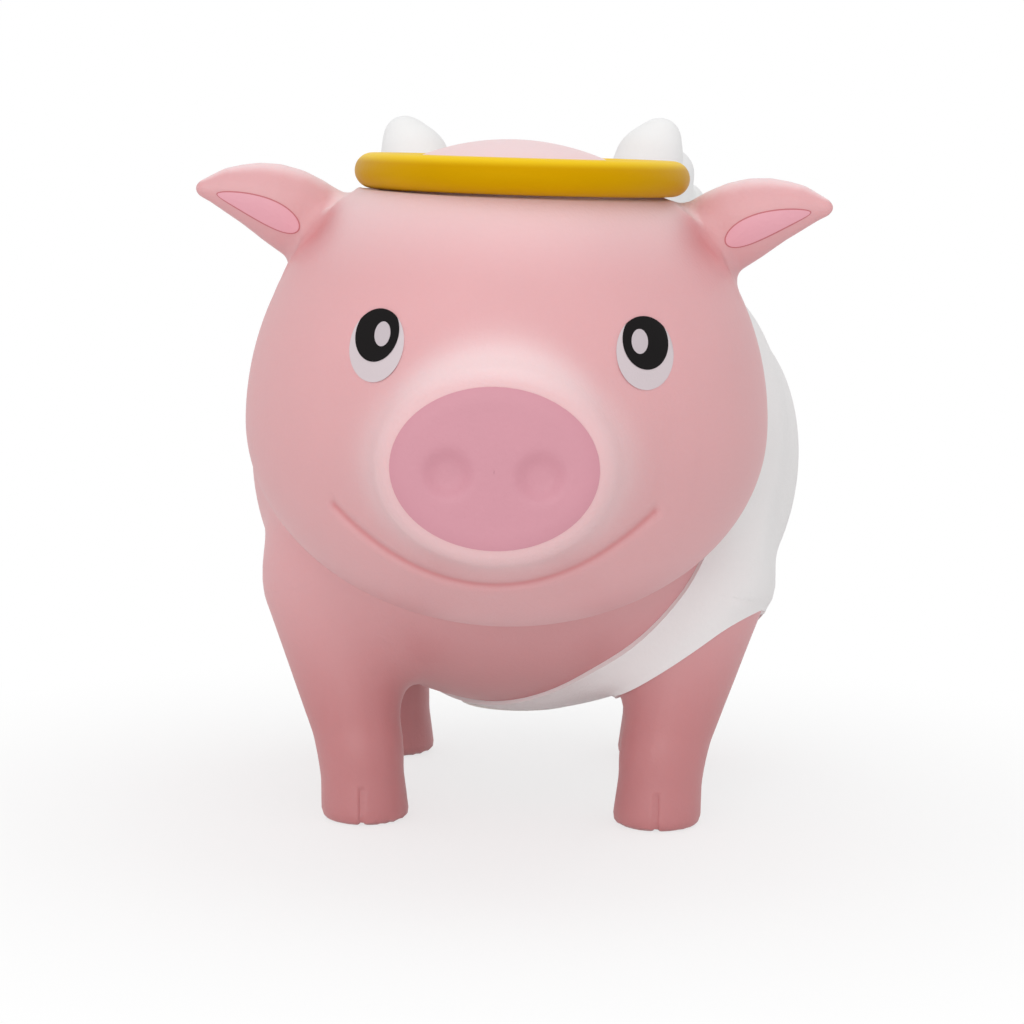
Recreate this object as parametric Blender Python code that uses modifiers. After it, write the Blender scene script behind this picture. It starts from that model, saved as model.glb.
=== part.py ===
"""Toy pig figure dressed as an angel: hollow soft vinyl, with a head that swivels on its neck.

The figure stands on z = 0 and looks along -Y, so its own left side is at +X. Sizes are in metres.
The head and the body are smooth blends of ellipsoids and tapering rods. Each is built from
primitives, remeshed into one skin, and settled on the blend's exact surface.
"""
import math
import bmesh
import bpy
import numpy as np
from mathutils import Matrix, Vector

# Walls, clearances and tool sizes
VINYL_WALL = 0.0024
GAP = 0.0003
SWING_GAP = 0.0005
OVERRUN = 0.004
INLAY_DEPTH = 0.0012
PROBE = 0.00002
HEAD_CELL = 0.0018
SWING_CELL = 0.0040
BODY_CELL = 0.0042
INNER_CELL = 0.0046
WING_CELL = 0.0020
SKIN_KEEP_SHARE = 0.45
HEAD_KEEP_SHARE = 0.10
INNER_KEEP_SHARE = 0.30

# Head: an ellipsoid, flatter below than above, with a short muzzle
HEAD_Y = -0.030
HEAD_Z = 0.073
SKULL_Z = 0.0705
HEAD_HALF_WIDTH = 0.0415
HEAD_HALF_DEPTH = 0.039
HEAD_RISE = 0.0447
HEAD_DROP = 0.0325
SNOUT_FRONT_Y = -0.075
MUZZLE_X = 0.0008
MUZZLE_LENGTH = 0.030
MUZZLE_Z = 0.0678
MUZZLE_HALF_WIDTH = 0.0173
MUZZLE_HALF_HEIGHT = 0.0142
MUZZLE_ROUND = 0.005
MUZZLE_BLEND = 0.010
SNOUT_WALL = 0.0048

# Ears: a line from a fat root to a thin tip with a radius at each point, flattened front to back
EAR_LINE = ((0.0315, -0.0270, 0.10065), (0.0360, -0.0280, 0.10325), (0.0405, -0.0290, 0.10515),
            (0.0450, -0.0300, 0.10600), (0.0484, -0.0310, 0.10605))
EAR_RADII = (0.0069, 0.0065, 0.0052, 0.0034, 0.0018)
EAR_BLEND = 0.0025
EAR_FLAT_SHARE = 0.62

# Ear linings: an almond from a round inner end to a pointed outer end
LINING_INNER = (0.0340, 0.1002)
LINING_OUTER = (0.0464, 0.1051)
LINING_HALF_WIDTH = 0.0021
LINING_DEPTH = 0.0009

# Eyes: an oval white, a pupil that its upper edge trims, and a highlight
EYE_HALF_SPACING = 0.0198
EYE_SHIFT = 0.0020
EYE_Z = 0.0845
EYE_HALF_WIDTH = 0.00415
EYE_HALF_HEIGHT = 0.0054
EYE_LEAN_DEG = 13.4
PUPIL_RISE = 0.0017
PUPIL_HALF_WIDTH = 0.00328
PUPIL_HALF_HEIGHT = 0.0042
PUPIL_LEAN_DEG = 19.0
SPARK_IN = 0.00084
SPARK_RISE = 0.0017
SPARK_HALF_WIDTH = 0.0012
SPARK_HALF_HEIGHT = 0.0018
SPARK_LEAN_DEG = 8.0

# Snout pad and its nostril dimples
PAD_HALF_WIDTH = 0.0150
PAD_HALF_HEIGHT = 0.0118
PAD_Z = 0.0681
PAD_DEPTH = 0.0026
NOSTRIL_HALF_SPACING = 0.0067
NOSTRIL_Z = 0.0672
NOSTRIL_HALF_WIDTH = 0.0030
NOSTRIL_HALF_HEIGHT = 0.0034
NOSTRIL_DEPTH = 0.0010

# Mouth: a groove along a smile
MOUTH_HALF_WIDTH = 0.0240
MOUTH_LOW_Z = 0.0488
MOUTH_RISE = 0.0115
MOUTH_TILT = 0.018
MOUTH_GROOVE_R = 0.0007
MOUTH_POINTS = 21

# Halo: a ring that sits in a groove round the crown, a little to the pig's left
HALO_X = 0.0013
HALO_Y = -0.029
HALO_Z = 0.1097
HALO_R = 0.0237
HALO_TUBE_R = 0.0028

# Body: an ellipsoid on four tapering legs
BODY_Y = 0.018
BODY_Z = 0.060
BODY_HALF_WIDTH = 0.0474
BODY_HALF_LENGTH = 0.048
BODY_RISE = 0.043
BODY_DROP = 0.044
LEG_X = 0.0248
ANKLE_X = 0.0257
LEG_HIP_X = 0.0312
FRONT_LEG_Y = -0.008
REAR_LEG_Y = 0.045
HIP_SET_IN = 0.004
ANKLE_Z = 0.012
HIP_Z = 0.040
FOOT_R = 0.0075
ANKLE_R = 0.0068
HIP_R = 0.0115
KNEE_BLEND = 0.002
LEG_BLEND = 0.008
SOLE_ROUND = 0.002
SOLE_CUT = 0.0005

# Neck: a spigot on the body with a flange that is captured inside the head
NECK_BORE_R = 0.0120
SPIGOT_R = 0.0150
FLANGE_R = 0.0182
FLANGE_THICK = 0.0020
NECK_RING_R = 0.0212
NECK_FACE_Y = -0.0010
NECK_ROOT_LENGTH = 0.0060
SWIVEL_DEG = 15.0
HEAD_REST_DEG = 1.2

# Robe: a skin over the pig's left flank, its belly and its rear
ROBE_GAP = 0.0004
ROBE_THICK = 0.0011
NECKLINE_POINT = (0.0229, -0.0164, 0.0340)
NECKLINE_NORMAL_SHARES = (0.691, 0.569, -0.445)
HEM_R = 0.0140
HEM_X = 0.0298
HEM_Z = 0.0305
HEM_SLOPE_SHARE = 0.72
HEM_BEND = 34.0
HEM_BEND_START = 0.004
HEM_BACK_FALL_SHARE = 0.30

# Wings: four plump lobes each, on a round peg. The root lies on the back at shares of its size
WING_ROOT_X_SHARE = 0.37
WING_ROOT_Y_SHARE = -0.04
WING_ROOT_SINK = 0.0006
WING_TOP_RUN = (0.0052, 0.006, 0.0165)
WING_INNER_RUN = (0.0027, 0.005, 0.0123)
WING_MIDDLE_RUN = (0.0066, 0.017, 0.0100)
WING_LOW_RUN = (0.0093, 0.025, 0.0043)
WING_ROOT_R = 0.0067
WING_TOP_R = 0.0032
WING_INNER_R = 0.0056
WING_MIDDLE_R = 0.0046
WING_LOW_R = 0.0041
WING_BLEND = 0.0035
WING_X = 0.0012
PEG_R = 0.0030
PEG_LENGTH = 0.0085
PEG_BOSS_R = 0.0055

# Tail: a small curl on the rear
TAIL_Z = 0.074
TAIL_TUBE_R = 0.0014
TAIL_CURL_R = 0.0030
TAIL_STANDOFF = 0.0075
TAIL_PEG_LENGTH = 0.0050
TAIL_TURNS = 1.25
TAIL_POINTS = 14
TAIL_BOSS_R = 0.0040

# Stopper in the belly
STOPPER_Y = 0.018
STOPPER_FLANGE_R = 0.0105
STOPPER_FLANGE_THICK = 0.0016
STOPPER_PLUG_R = 0.0085
STOPPER_PLUG_LENGTH = 0.0045
STOPPER_PLUG_WALL = 0.0018
STOPPER_BOSS_R = 0.0130
STOPPER_GRIP_R = 0.0022
STOPPER_GRIP_DEPTH = 0.0008

COLOURS = {
    "vinyl_pink": ((0.80, 0.49, 0.51), 0.45),
    "pad_pink": ((0.72, 0.38, 0.46), 0.45),
    "halo_yellow": ((0.84, 0.50, 0.02), 0.25),
    "wing_white": ((0.86, 0.86, 0.85), 0.50),
    "robe_white": ((0.80, 0.79, 0.79), 0.55),
    "eye_white": ((0.86, 0.83, 0.83), 0.35),
    "eye_black": ((0.016, 0.012, 0.013), 0.30),
    "stopper_clear": ((0.78, 0.76, 0.74), 0.35),
}


# Distances: each is negative inside, and grows outward at about one metre per metre
def ellipsoid(p, centre, half_x, half_y, rise, drop):
    q = p - np.array(centre, float)
    radii = np.empty_like(q)
    radii[:, 0] = half_x
    radii[:, 1] = half_y
    radii[:, 2] = np.where(q[:, 2] > 0, rise, drop)
    k0 = np.sqrt(((q / radii) ** 2).sum(axis=1))
    k1 = np.sqrt(((q / radii ** 2) ** 2).sum(axis=1))
    return k0 * (k0 - 1) / np.maximum(k1, 1 / half_x ** 2 * PROBE)


def rod(p, a, b, r_a, r_b):
    """A rod that tapers from radius r_a at a to r_b at b."""
    a, b = np.array(a, float), np.array(b, float)
    run = b - a
    length = math.sqrt(run @ run)
    along = (p - a) @ run / length
    across = np.sqrt(np.maximum(((p - a) ** 2).sum(axis=1) - along ** 2, 0))
    lean = (r_a - r_b) / length
    t = np.clip((along - across * lean / math.sqrt(1 - lean ** 2)) / length, 0, 1)
    return np.linalg.norm(p - a - t[:, None] * run, axis=1) - (r_a + (r_b - r_a) * t)


def blend(a, b, width):
    """Union of two distances with a fillet of the given width."""
    h = np.clip(0.5 + 0.5 * (b - a) / width, 0, 1)
    return b * (1 - h) + a * h - width * h * (1 - h)


def common(a, b, width):
    """Intersection of two distances with a rounded edge."""
    return -blend(-a, -b, width)


def muzzle(p, front_y):
    """An oval drum along Y whose front end is at front_y."""
    q = p - np.array((MUZZLE_X, SNOUT_FRONT_Y + MUZZLE_LENGTH / 2, MUZZLE_Z))
    share = np.sqrt((q[:, 0] / MUZZLE_HALF_WIDTH) ** 2 + (q[:, 2] / MUZZLE_HALF_HEIGHT) ** 2)
    slope = np.sqrt((q[:, 0] / MUZZLE_HALF_WIDTH ** 2) ** 2
                    + (q[:, 2] / MUZZLE_HALF_HEIGHT ** 2) ** 2)
    side = share * (share - 1) / np.maximum(slope, 1 / MUZZLE_HALF_WIDTH ** 2 * PROBE)
    ends = np.maximum(front_y - p[:, 1], q[:, 1] - MUZZLE_LENGTH / 2)
    return common(side, ends, MUZZLE_ROUND)


def skull(p):
    return ellipsoid(p, (0, HEAD_Y, SKULL_Z), HEAD_HALF_WIDTH, HEAD_HALF_DEPTH, HEAD_RISE, HEAD_DROP)


def head_bare(p, front_y=SNOUT_FRONT_Y):
    return blend(skull(p), muzzle(p, front_y), MUZZLE_BLEND)


def ear(p):
    """Both ears at once, because they mirror each other."""
    stretch = np.array((1, 1 / EAR_FLAT_SHARE, 1))
    q = np.column_stack((np.abs(p[:, 0]), p[:, 1], p[:, 2])) * stretch
    line = [np.array(v) * stretch for v in EAR_LINE]
    rods = [rod(q, line[k], line[k + 1], EAR_RADII[k], EAR_RADII[k + 1])
            for k in range(len(line) - 1)]
    return np.min(rods, axis=0) * EAR_FLAT_SHARE


def head(p):
    return blend(head_bare(p), ear(p), EAR_BLEND)


def leg(p, y):
    """The two legs at one y, because they mirror each other."""
    q = np.column_stack((np.abs(p[:, 0]), p[:, 1], p[:, 2]))
    hip_y = y + (HIP_SET_IN if y < BODY_Y else -HIP_SET_IN)
    shank = rod(q, (LEG_X, y, 0), (ANKLE_X, y, ANKLE_Z), FOOT_R, ANKLE_R)
    thigh = rod(q, (ANKLE_X, y, ANKLE_Z), (LEG_HIP_X, hip_y, HIP_Z), ANKLE_R, HIP_R)
    return blend(shank, thigh, KNEE_BLEND)


def torso(p):
    return ellipsoid(p, (0, BODY_Y, BODY_Z), BODY_HALF_WIDTH, BODY_HALF_LENGTH, BODY_RISE, BODY_DROP)


def body(p):
    d = torso(p)
    for y in (FRONT_LEG_Y, REAR_LEG_Y):
        d = blend(d, leg(p, y), LEG_BLEND)
    return common(d, -p[:, 2] - SOLE_CUT, SOLE_ROUND)


def head_swing(p):
    """The skull in every position of its swivel."""
    d = None
    for turn in (-1, -0.5, 0, 0.5, 1):
        a = math.radians(SWIVEL_DEG * turn)
        q = p.copy()
        q[:, 0] = p[:, 0] * math.cos(a) - (p[:, 2] - HEAD_Z) * math.sin(a)
        q[:, 2] = HEAD_Z + p[:, 0] * math.sin(a) + (p[:, 2] - HEAD_Z) * math.cos(a)
        d = skull(q) if d is None else np.minimum(d, skull(q))
    return d


def wing_root():
    """Where a left wing starts, just under the back's surface."""
    x, y = WING_ROOT_X_SHARE, WING_ROOT_Y_SHARE
    height = BODY_RISE * math.sqrt(1 - x ** 2 - y ** 2)
    return Vector((x * BODY_HALF_WIDTH, BODY_Y + y * BODY_HALF_LENGTH,
                   BODY_Z + height - WING_ROOT_SINK))


def wing_lobes():
    """Tip and tip radius of a left wing's lobes."""
    runs = ((WING_TOP_RUN, WING_TOP_R), (WING_INNER_RUN, WING_INNER_R),
            (WING_MIDDLE_RUN, WING_MIDDLE_R), (WING_LOW_RUN, WING_LOW_R))
    return [(wing_root() + Vector(run), r) for run, r in runs]


def wing(p, side):
    q = (p - np.array((WING_X, 0, 0))) * np.array((side, 1, 1))
    d = None
    for tip, r in wing_lobes():
        lobe = rod(q, wing_root(), tip, WING_ROOT_R, r)
        d = lobe if d is None else blend(d, lobe, WING_BLEND)
    return d


# Meshes
def new_object(name, mesh):
    obj = bpy.data.objects.new(name, mesh)
    bpy.context.scene.collection.objects.link(obj)
    return obj


def from_bmesh(name, bm):
    mesh = bpy.data.meshes.new(name)
    bm.to_mesh(mesh)
    bm.free()
    return new_object(name, mesh)


def add_ball(bm, centre, half_x, half_y, rise, drop, segments=32):
    made = bmesh.ops.create_uvsphere(bm, u_segments=segments, v_segments=segments // 2,
                                     radius=1.0)
    for v in made["verts"]:
        v.co = Vector(centre) + Vector((v.co.x * half_x, v.co.y * half_y,
                                        v.co.z * (rise if v.co.z > 0 else drop)))


def add_rod(bm, a, b, r_a, r_b, segments=24):
    """A capped rod from a to b."""
    a, b = Vector(a), Vector(b)
    turn = (b - a).to_track_quat("Z", "Y").to_matrix().to_4x4()
    place = Matrix.Translation((a + b) / 2) @ turn
    return bmesh.ops.create_cone(bm, cap_ends=True, segments=segments, radius1=r_a, radius2=r_b,
                                 depth=(b - a).length, matrix=place)["verts"]


def evaluated(obj):
    """Bake an object's modifiers into a new mesh of its own."""
    graph = bpy.context.evaluated_depsgraph_get()
    graph.update()
    mesh = bpy.data.meshes.new_from_object(obj.evaluated_get(graph))
    old = obj.data
    obj.modifiers.clear()
    obj.data = mesh
    bpy.data.meshes.remove(old)
    return obj


def settle(obj, field, level=0.0):
    """Move each vertex along the field's slope until the field is at the level."""
    count = len(obj.data.vertices)
    flat = np.empty(count * 3)
    obj.data.vertices.foreach_get("co", flat)
    p = flat.reshape(-1, 3)
    for _ in range(14):
        miss = field(p) - level
        slope = np.empty_like(p)
        for k in range(3):
            step = np.zeros(3)
            step[k] = PROBE
            slope[:, k] = (field(p + step) - field(p - step)) / (2 * PROBE)
        size = np.maximum((slope ** 2).sum(axis=1), 0.2)
        p = p - (miss / size)[:, None] * slope
    obj.data.vertices.foreach_set("co", p.ravel())
    obj.data.update()
    return obj


def skin(name, bm, cell, field, level=0.0, keep_share=SKIN_KEEP_SHARE):
    """One closed skin over the primitives, settled on the field, with more faces on tight bends."""
    obj = from_bmesh(name, bm)
    grid = obj.modifiers.new("Skin", "REMESH")
    grid.mode = "VOXEL"
    grid.voxel_size = cell
    settle(evaluated(obj), field, level)
    thin = obj.modifiers.new("Thin", "DECIMATE")
    thin.ratio = keep_share
    return settle(evaluated(obj), field, level)


def offset_copy(obj, name, field, level):
    """The same skin, settled on another level."""
    return settle(new_object(name, obj.data.copy()), field, level)


def moved_copy(obj, name, back):
    """The same skin, moved back along Y."""
    copy = new_object(name, obj.data.copy())
    copy.data.transform(Matrix.Translation((0, back, 0)))
    return copy


def combine(obj, tool, operation, keep_tool=False):
    """Cut or join two closed meshes. The exact solver loses some of these wavy skins."""
    change = obj.modifiers.new("Cut", "BOOLEAN")
    change.operation = operation
    change.solver = "MANIFOLD"
    change.object = tool
    evaluated(obj)
    if not keep_tool:
        bpy.data.objects.remove(tool)
    return obj


def oval_tool(name, x, z, half_x, half_z, lean_deg=0.0, segments=28):
    """An oval drum along Y that runs from in front of the face to the head's middle."""
    bm = bmesh.new()
    verts = add_rod(bm, (0, SNOUT_FRONT_Y - OVERRUN, 0), (0, HEAD_Y, 0), 1.0, 1.0, segments)
    lean = math.radians(lean_deg)
    for v in verts:
        u, w = v.co.x * half_x, v.co.z * half_z
        v.co = Vector((x + u * math.cos(lean) + w * math.sin(lean), v.co.y,
                       z - u * math.sin(lean) + w * math.cos(lean)))
    return from_bmesh(name, bm)


def lining_tool(name, side, shrink):
    """The almond outline of an ear lining as a drum along Y."""
    inner, outer = Vector(LINING_INNER), Vector(LINING_OUTER)
    along = (outer - inner).normalized()
    half = (outer - inner).length / 2 - shrink
    width = LINING_HALF_WIDTH - shrink
    middle = (inner + outer) / 2
    bm = bmesh.new()
    verts = add_rod(bm, (0, SNOUT_FRONT_Y, 0), (0, HEAD_Y, 0), 1.0, 1.0, 20)
    for v in verts:
        u = v.co.x * half
        w = v.co.z * width * (1 - 0.45 * v.co.x)
        v.co = Vector((side * (middle.x + along.x * u - along.y * w), v.co.y,
                       middle.y + along.y * u + along.x * w))
    if side < 0:
        bmesh.ops.reverse_faces(bm, faces=bm.faces[:])
    return from_bmesh(name, bm)


def sink_pocket(shell, floor, tool):
    """Cut a pocket of the tool's outline down to the floor skin."""
    combine(tool, floor, "DIFFERENCE", keep_tool=True)
    combine(shell, tool, "DIFFERENCE")


def fill_pocket(name, outline, top, floor):
    """An inlay of the outline between the floor skin and the top skin."""
    outline.name = name
    combine(outline, top, "INTERSECT", keep_tool=True)
    return combine(outline, floor, "DIFFERENCE", keep_tool=True)


def face_y(x, z):
    """Where a line along Y first meets the front of the head."""
    y = SNOUT_FRONT_Y - OVERRUN
    for _ in range(60):
        y += 0.7 * float(head(np.array([[x, y, z]]))[0])
    return y


def tube(name, points, radius, closed=False):
    """A round tube through the points, as a mesh."""
    data = bpy.data.curves.new(name, "CURVE")
    data.dimensions = "3D"
    data.bevel_depth = radius
    data.bevel_resolution = 2
    data.use_fill_caps = not closed
    line = data.splines.new("POLY")
    line.points.add(len(points) - 1)
    for node, place in zip(line.points, points):
        node.co = (*place, 1)
    line.use_cyclic_u = closed
    curve = bpy.data.objects.new(name, data)
    bpy.context.scene.collection.objects.link(curve)
    graph = bpy.context.evaluated_depsgraph_get()
    mesh = bpy.data.meshes.new_from_object(curve.evaluated_get(graph))
    bm = bmesh.new()
    bm.from_mesh(mesh)
    bmesh.ops.remove_doubles(bm, verts=bm.verts, dist=PROBE)
    bmesh.ops.recalc_face_normals(bm, faces=bm.faces)
    bm.to_mesh(mesh)
    bm.free()
    bpy.data.objects.remove(curve)
    return new_object(name, mesh)


def rod_object(name, a, b, r_a, r_b=None, segments=32):
    bm = bmesh.new()
    add_rod(bm, a, b, r_a, r_a if r_b is None else r_b, segments)
    return from_bmesh(name, bm)


# Head
HEAD_BACK_Y = HEAD_Y + HEAD_HALF_DEPTH


def head_primitives(bm, with_ears):
    add_ball(bm, (0, HEAD_Y, SKULL_Z), HEAD_HALF_WIDTH, HEAD_HALF_DEPTH, HEAD_RISE, HEAD_DROP)
    verts = add_rod(bm, (0, SNOUT_FRONT_Y, 0), (0, SNOUT_FRONT_Y + MUZZLE_LENGTH, 0), 1.0, 1.0)
    for v in verts:
        v.co = Vector((MUZZLE_X + v.co.x * MUZZLE_HALF_WIDTH, v.co.y,
                       MUZZLE_Z + v.co.z * MUZZLE_HALF_HEIGHT))
    if not with_ears:
        return
    for side in (1, -1):
        places = [Vector((side * v[0], v[1], v[2])) for v in EAR_LINE]
        inner = places[0] + (places[0] - places[1])
        end = places[-1] + (places[-1] - places[-2]).normalized() * EAR_RADII[-1]
        chain = [inner] + places + [end]
        radii = (EAR_RADII[0],) + EAR_RADII + (EAR_RADII[-1] / 2,)
        for k in range(len(chain) - 1):
            run = chain[k + 1] - chain[k]
            for v in add_rod(bm, chain[k], chain[k + 1], radii[k], radii[k + 1]):
                line_y = chain[k].y + run.y * (v.co - chain[k]).dot(run) / run.dot(run)
                v.co.y = line_y + (v.co.y - line_y) * EAR_FLAT_SHARE


def halo_points(count=36):
    turns = [2 * math.pi * k / count for k in range(count)]
    return [(HALO_X + HALO_R * math.cos(t), HALO_Y + HALO_R * math.sin(t), HALO_Z) for t in turns]


def mouth_points():
    points = []
    for k in range(MOUTH_POINTS):
        share = 2 * k / (MOUTH_POINTS - 1) - 1
        x = share * MOUTH_HALF_WIDTH
        z = MOUTH_LOW_Z + MOUTH_RISE * share ** 2 + MOUTH_TILT * x
        points.append((x, face_y(x, z), z))
    return points


def make_head():
    pieces = {}
    bm = bmesh.new()
    head_primitives(bm, True)
    shell = skin("head_shell", bm, HEAD_CELL, head, 0.0, HEAD_KEEP_SHARE)
    top = new_object("head_top", shell.data.copy())
    floor = offset_copy(shell, "head_floor", head, -INLAY_DEPTH)
    inlay_floor = offset_copy(shell, "head_inlay_floor", head, GAP - INLAY_DEPTH)
    lining_floor = moved_copy(shell, "lining_floor", LINING_DEPTH)
    lining_back = moved_copy(shell, "lining_back", LINING_DEPTH - GAP)
    pad_floor = offset_copy(shell, "pad_floor", head, -PAD_DEPTH)
    pad_back = offset_copy(shell, "pad_back", head, GAP - PAD_DEPTH)

    bm = bmesh.new()
    head_primitives(bm, False)
    hollow = skin("head_hollow", bm, INNER_CELL,
                  lambda p: head_bare(p, SNOUT_FRONT_Y + SNOUT_WALL - VINYL_WALL), -VINYL_WALL,
                  INNER_KEEP_SHARE)
    combine(shell, hollow, "DIFFERENCE")
    ring = rod_object("neck_ring", (0, NECK_FACE_Y, HEAD_Z), (0, HEAD_BACK_Y + OVERRUN, HEAD_Z),
                      NECK_RING_R)
    combine(ring, top, "INTERSECT", keep_tool=True)
    combine(shell, ring, "UNION")
    bore = rod_object("neck_bore", (0, NECK_FACE_Y - OVERRUN, HEAD_Z),
                      (0, HEAD_BACK_Y + OVERRUN, HEAD_Z), SPIGOT_R + GAP)
    combine(shell, bore, "DIFFERENCE")
    combine(shell, tube("halo_groove", halo_points(), HALO_TUBE_R + GAP, True), "DIFFERENCE")
    combine(shell, tube("mouth_groove", mouth_points(), MOUTH_GROOVE_R), "DIFFERENCE")
    pieces["halo_ring"] = (tube("halo_ring", halo_points(), HALO_TUBE_R, True), "halo_yellow")

    for side, label in ((1, "left"), (-1, "right")):
        x = EYE_SHIFT + side * EYE_HALF_SPACING
        lean = -side * EYE_LEAN_DEG
        pupil_lean, spark_lean = -side * PUPIL_LEAN_DEG, -side * SPARK_LEAN_DEG
        spark_x = x - side * SPARK_IN
        sink_pocket(shell, floor, oval_tool("eye_pocket", x, EYE_Z, EYE_HALF_WIDTH,
                                            EYE_HALF_HEIGHT, lean))
        white = oval_tool("white", x, EYE_Z, EYE_HALF_WIDTH - GAP, EYE_HALF_HEIGHT - GAP, lean)
        pupil = new_object("pupil", white.data.copy())
        combine(white, oval_tool("pupil_cut", x, EYE_Z + PUPIL_RISE, PUPIL_HALF_WIDTH,
                                 PUPIL_HALF_HEIGHT, pupil_lean), "DIFFERENCE")
        combine(pupil, oval_tool("pupil_edge", x, EYE_Z + PUPIL_RISE, PUPIL_HALF_WIDTH - GAP,
                                 PUPIL_HALF_HEIGHT - GAP, pupil_lean), "INTERSECT")
        combine(pupil, oval_tool("spark_cut", spark_x, EYE_Z + SPARK_RISE, SPARK_HALF_WIDTH,
                                 SPARK_HALF_HEIGHT, spark_lean, 18), "DIFFERENCE")
        spark = oval_tool("spark", spark_x, EYE_Z + SPARK_RISE, SPARK_HALF_WIDTH - GAP,
                          SPARK_HALF_HEIGHT - GAP, spark_lean, 18)
        for kind, outline, colour in (("eye_white", white, "eye_white"),
                                      ("pupil", pupil, "eye_black"),
                                      ("eye_highlight", spark, "eye_white")):
            name = f"{label}_{kind}"
            pieces[name] = (fill_pocket(name, outline, top, inlay_floor), colour)
        sink_pocket(shell, lining_floor, lining_tool("lining_pocket", side, 0))
        name = f"{label}_ear_lining"
        pieces[name] = (fill_pocket(name, lining_tool(name, side, GAP), top, lining_back),
                        "pad_pink")

    sink_pocket(shell, pad_floor, oval_tool("pad_pocket", MUZZLE_X, PAD_Z, PAD_HALF_WIDTH,
                                            PAD_HALF_HEIGHT, 0, 36))
    pad = fill_pocket("snout_pad", oval_tool("snout_pad", MUZZLE_X, PAD_Z,
                                             PAD_HALF_WIDTH - GAP, PAD_HALF_HEIGHT - GAP, 0, 36), top, pad_back)
    for side in (1, -1):
        bm = bmesh.new()
        add_ball(bm, (MUZZLE_X + side * NOSTRIL_HALF_SPACING, SNOUT_FRONT_Y, NOSTRIL_Z), NOSTRIL_HALF_WIDTH,
                 NOSTRIL_DEPTH, NOSTRIL_HALF_HEIGHT, NOSTRIL_HALF_HEIGHT, 14)
        combine(pad, from_bmesh("nostril", bm), "DIFFERENCE")
    pieces["snout_pad"] = (pad, "pad_pink")
    pieces["head_shell"] = (shell, "vinyl_pink")
    for spare in (top, floor, inlay_floor, lining_floor, lining_back, pad_floor, pad_back):
        bpy.data.objects.remove(spare)
    return pieces


# Body
BELLY_Z = BODY_Z - BODY_DROP
STOPPER_SEAT_Z = BELLY_Z + STOPPER_FLANGE_THICK
REAR_Y = BODY_Y + BODY_HALF_LENGTH


def body_primitives(bm):
    add_ball(bm, (0, BODY_Y, BODY_Z), BODY_HALF_WIDTH, BODY_HALF_LENGTH, BODY_RISE, BODY_DROP)
    for y in (FRONT_LEG_Y, REAR_LEG_Y):
        hip_y = y + (HIP_SET_IN if y < BODY_Y else -HIP_SET_IN)
        for side in (1, -1):
            foot = (side * LEG_X, y, 0)
            ankle = (side * ANKLE_X, y, ANKLE_Z)
            hip = (side * LEG_HIP_X, hip_y, HIP_Z)
            add_rod(bm, foot, ankle, FOOT_R, ANKLE_R)
            add_rod(bm, ankle, hip, ANKLE_R, HIP_R)


def swing_tool(extra):
    """A solid over every position of the head, grown by the swing gap and the extra."""
    bm = bmesh.new()
    for turn in (-1, 0, 1):
        part = bmesh.new()
        add_ball(part, (0, 0, SKULL_Z - HEAD_Z), HEAD_HALF_WIDTH, HEAD_HALF_DEPTH, HEAD_RISE,
                 HEAD_DROP)
        spin = Matrix.Rotation(math.radians(SWIVEL_DEG * turn), 4, "Y")
        part.transform(Matrix.Translation((0, HEAD_Y, HEAD_Z)) @ spin)
        mesh = bpy.data.meshes.new("turn")
        part.to_mesh(mesh)
        part.free()
        bm.from_mesh(mesh)
        bpy.data.meshes.remove(mesh)
    return skin("head_swing", bm, SWING_CELL, head_swing, SWING_GAP + extra, INNER_KEEP_SHARE)


def peg_axis(side):
    """Foot and head of a wing's peg, along the back's slope at the wing's root."""
    root = wing_root()
    out = Vector((side * root.x / BODY_HALF_WIDTH ** 2, (root.y - BODY_Y) / BODY_HALF_LENGTH ** 2,
                  (root.z - BODY_Z) / BODY_RISE ** 2)).normalized()
    root.x = WING_X + side * root.x
    return root - out * PEG_LENGTH, root, out


def robe_side(name, flip):
    """A box whose face is the neckline, on the robe's side or on the bare side."""
    normal = Vector(NECKLINE_NORMAL_SHARES).normalized() * (1 if flip else -1)
    reach = 3 * max(BODY_HALF_LENGTH, BODY_HALF_WIDTH, BODY_RISE)
    bm = bmesh.new()
    bmesh.ops.create_cube(bm, size=reach * 2)
    place = Matrix.Translation(Vector(NECKLINE_POINT) - normal * reach)
    bm.transform(place @ (-normal).to_track_quat("Z", "Y").to_matrix().to_4x4())
    return from_bmesh(name, bm)


def hem_tool(side, y):
    """A drum round one leg. Its top climbs outward, bends over, and falls to the back."""
    bm = bmesh.new()
    segments, rings = 32, 5
    turns = [2 * math.pi * k / segments for k in range(segments)]
    centre = bm.verts.new((side * HEM_X, y, HEM_Z))
    layers = []
    for ring in range(1, rings + 1):
        layer = []
        for a in turns:
            u, v = HEM_R * ring / rings * math.cos(a), HEM_R * ring / rings * math.sin(a)
            rise = u * HEM_SLOPE_SHARE - HEM_BEND * max(0, u - HEM_BEND_START) ** 2
            fall = HEM_BACK_FALL_SHARE * max(0, v)
            layer.append(bm.verts.new((side * (HEM_X + u), y + v, HEM_Z + rise - fall)))
        layers.append(layer)
    layers.append([bm.verts.new((v.co.x, v.co.y, -OVERRUN)) for v in layers[-1]])
    for k in range(segments):
        n = (k + 1) % segments
        bm.faces.new((centre, layers[0][k], layers[0][n]))
        for inner, outer in zip(layers, layers[1:]):
            bm.faces.new((inner[k], outer[k], outer[n], inner[n]))
    bm.faces.new(layers[-1])
    bmesh.ops.recalc_face_normals(bm, faces=bm.faces)
    bmesh.ops.triangulate(bm, faces=bm.faces)
    return from_bmesh("hem", bm)


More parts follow.
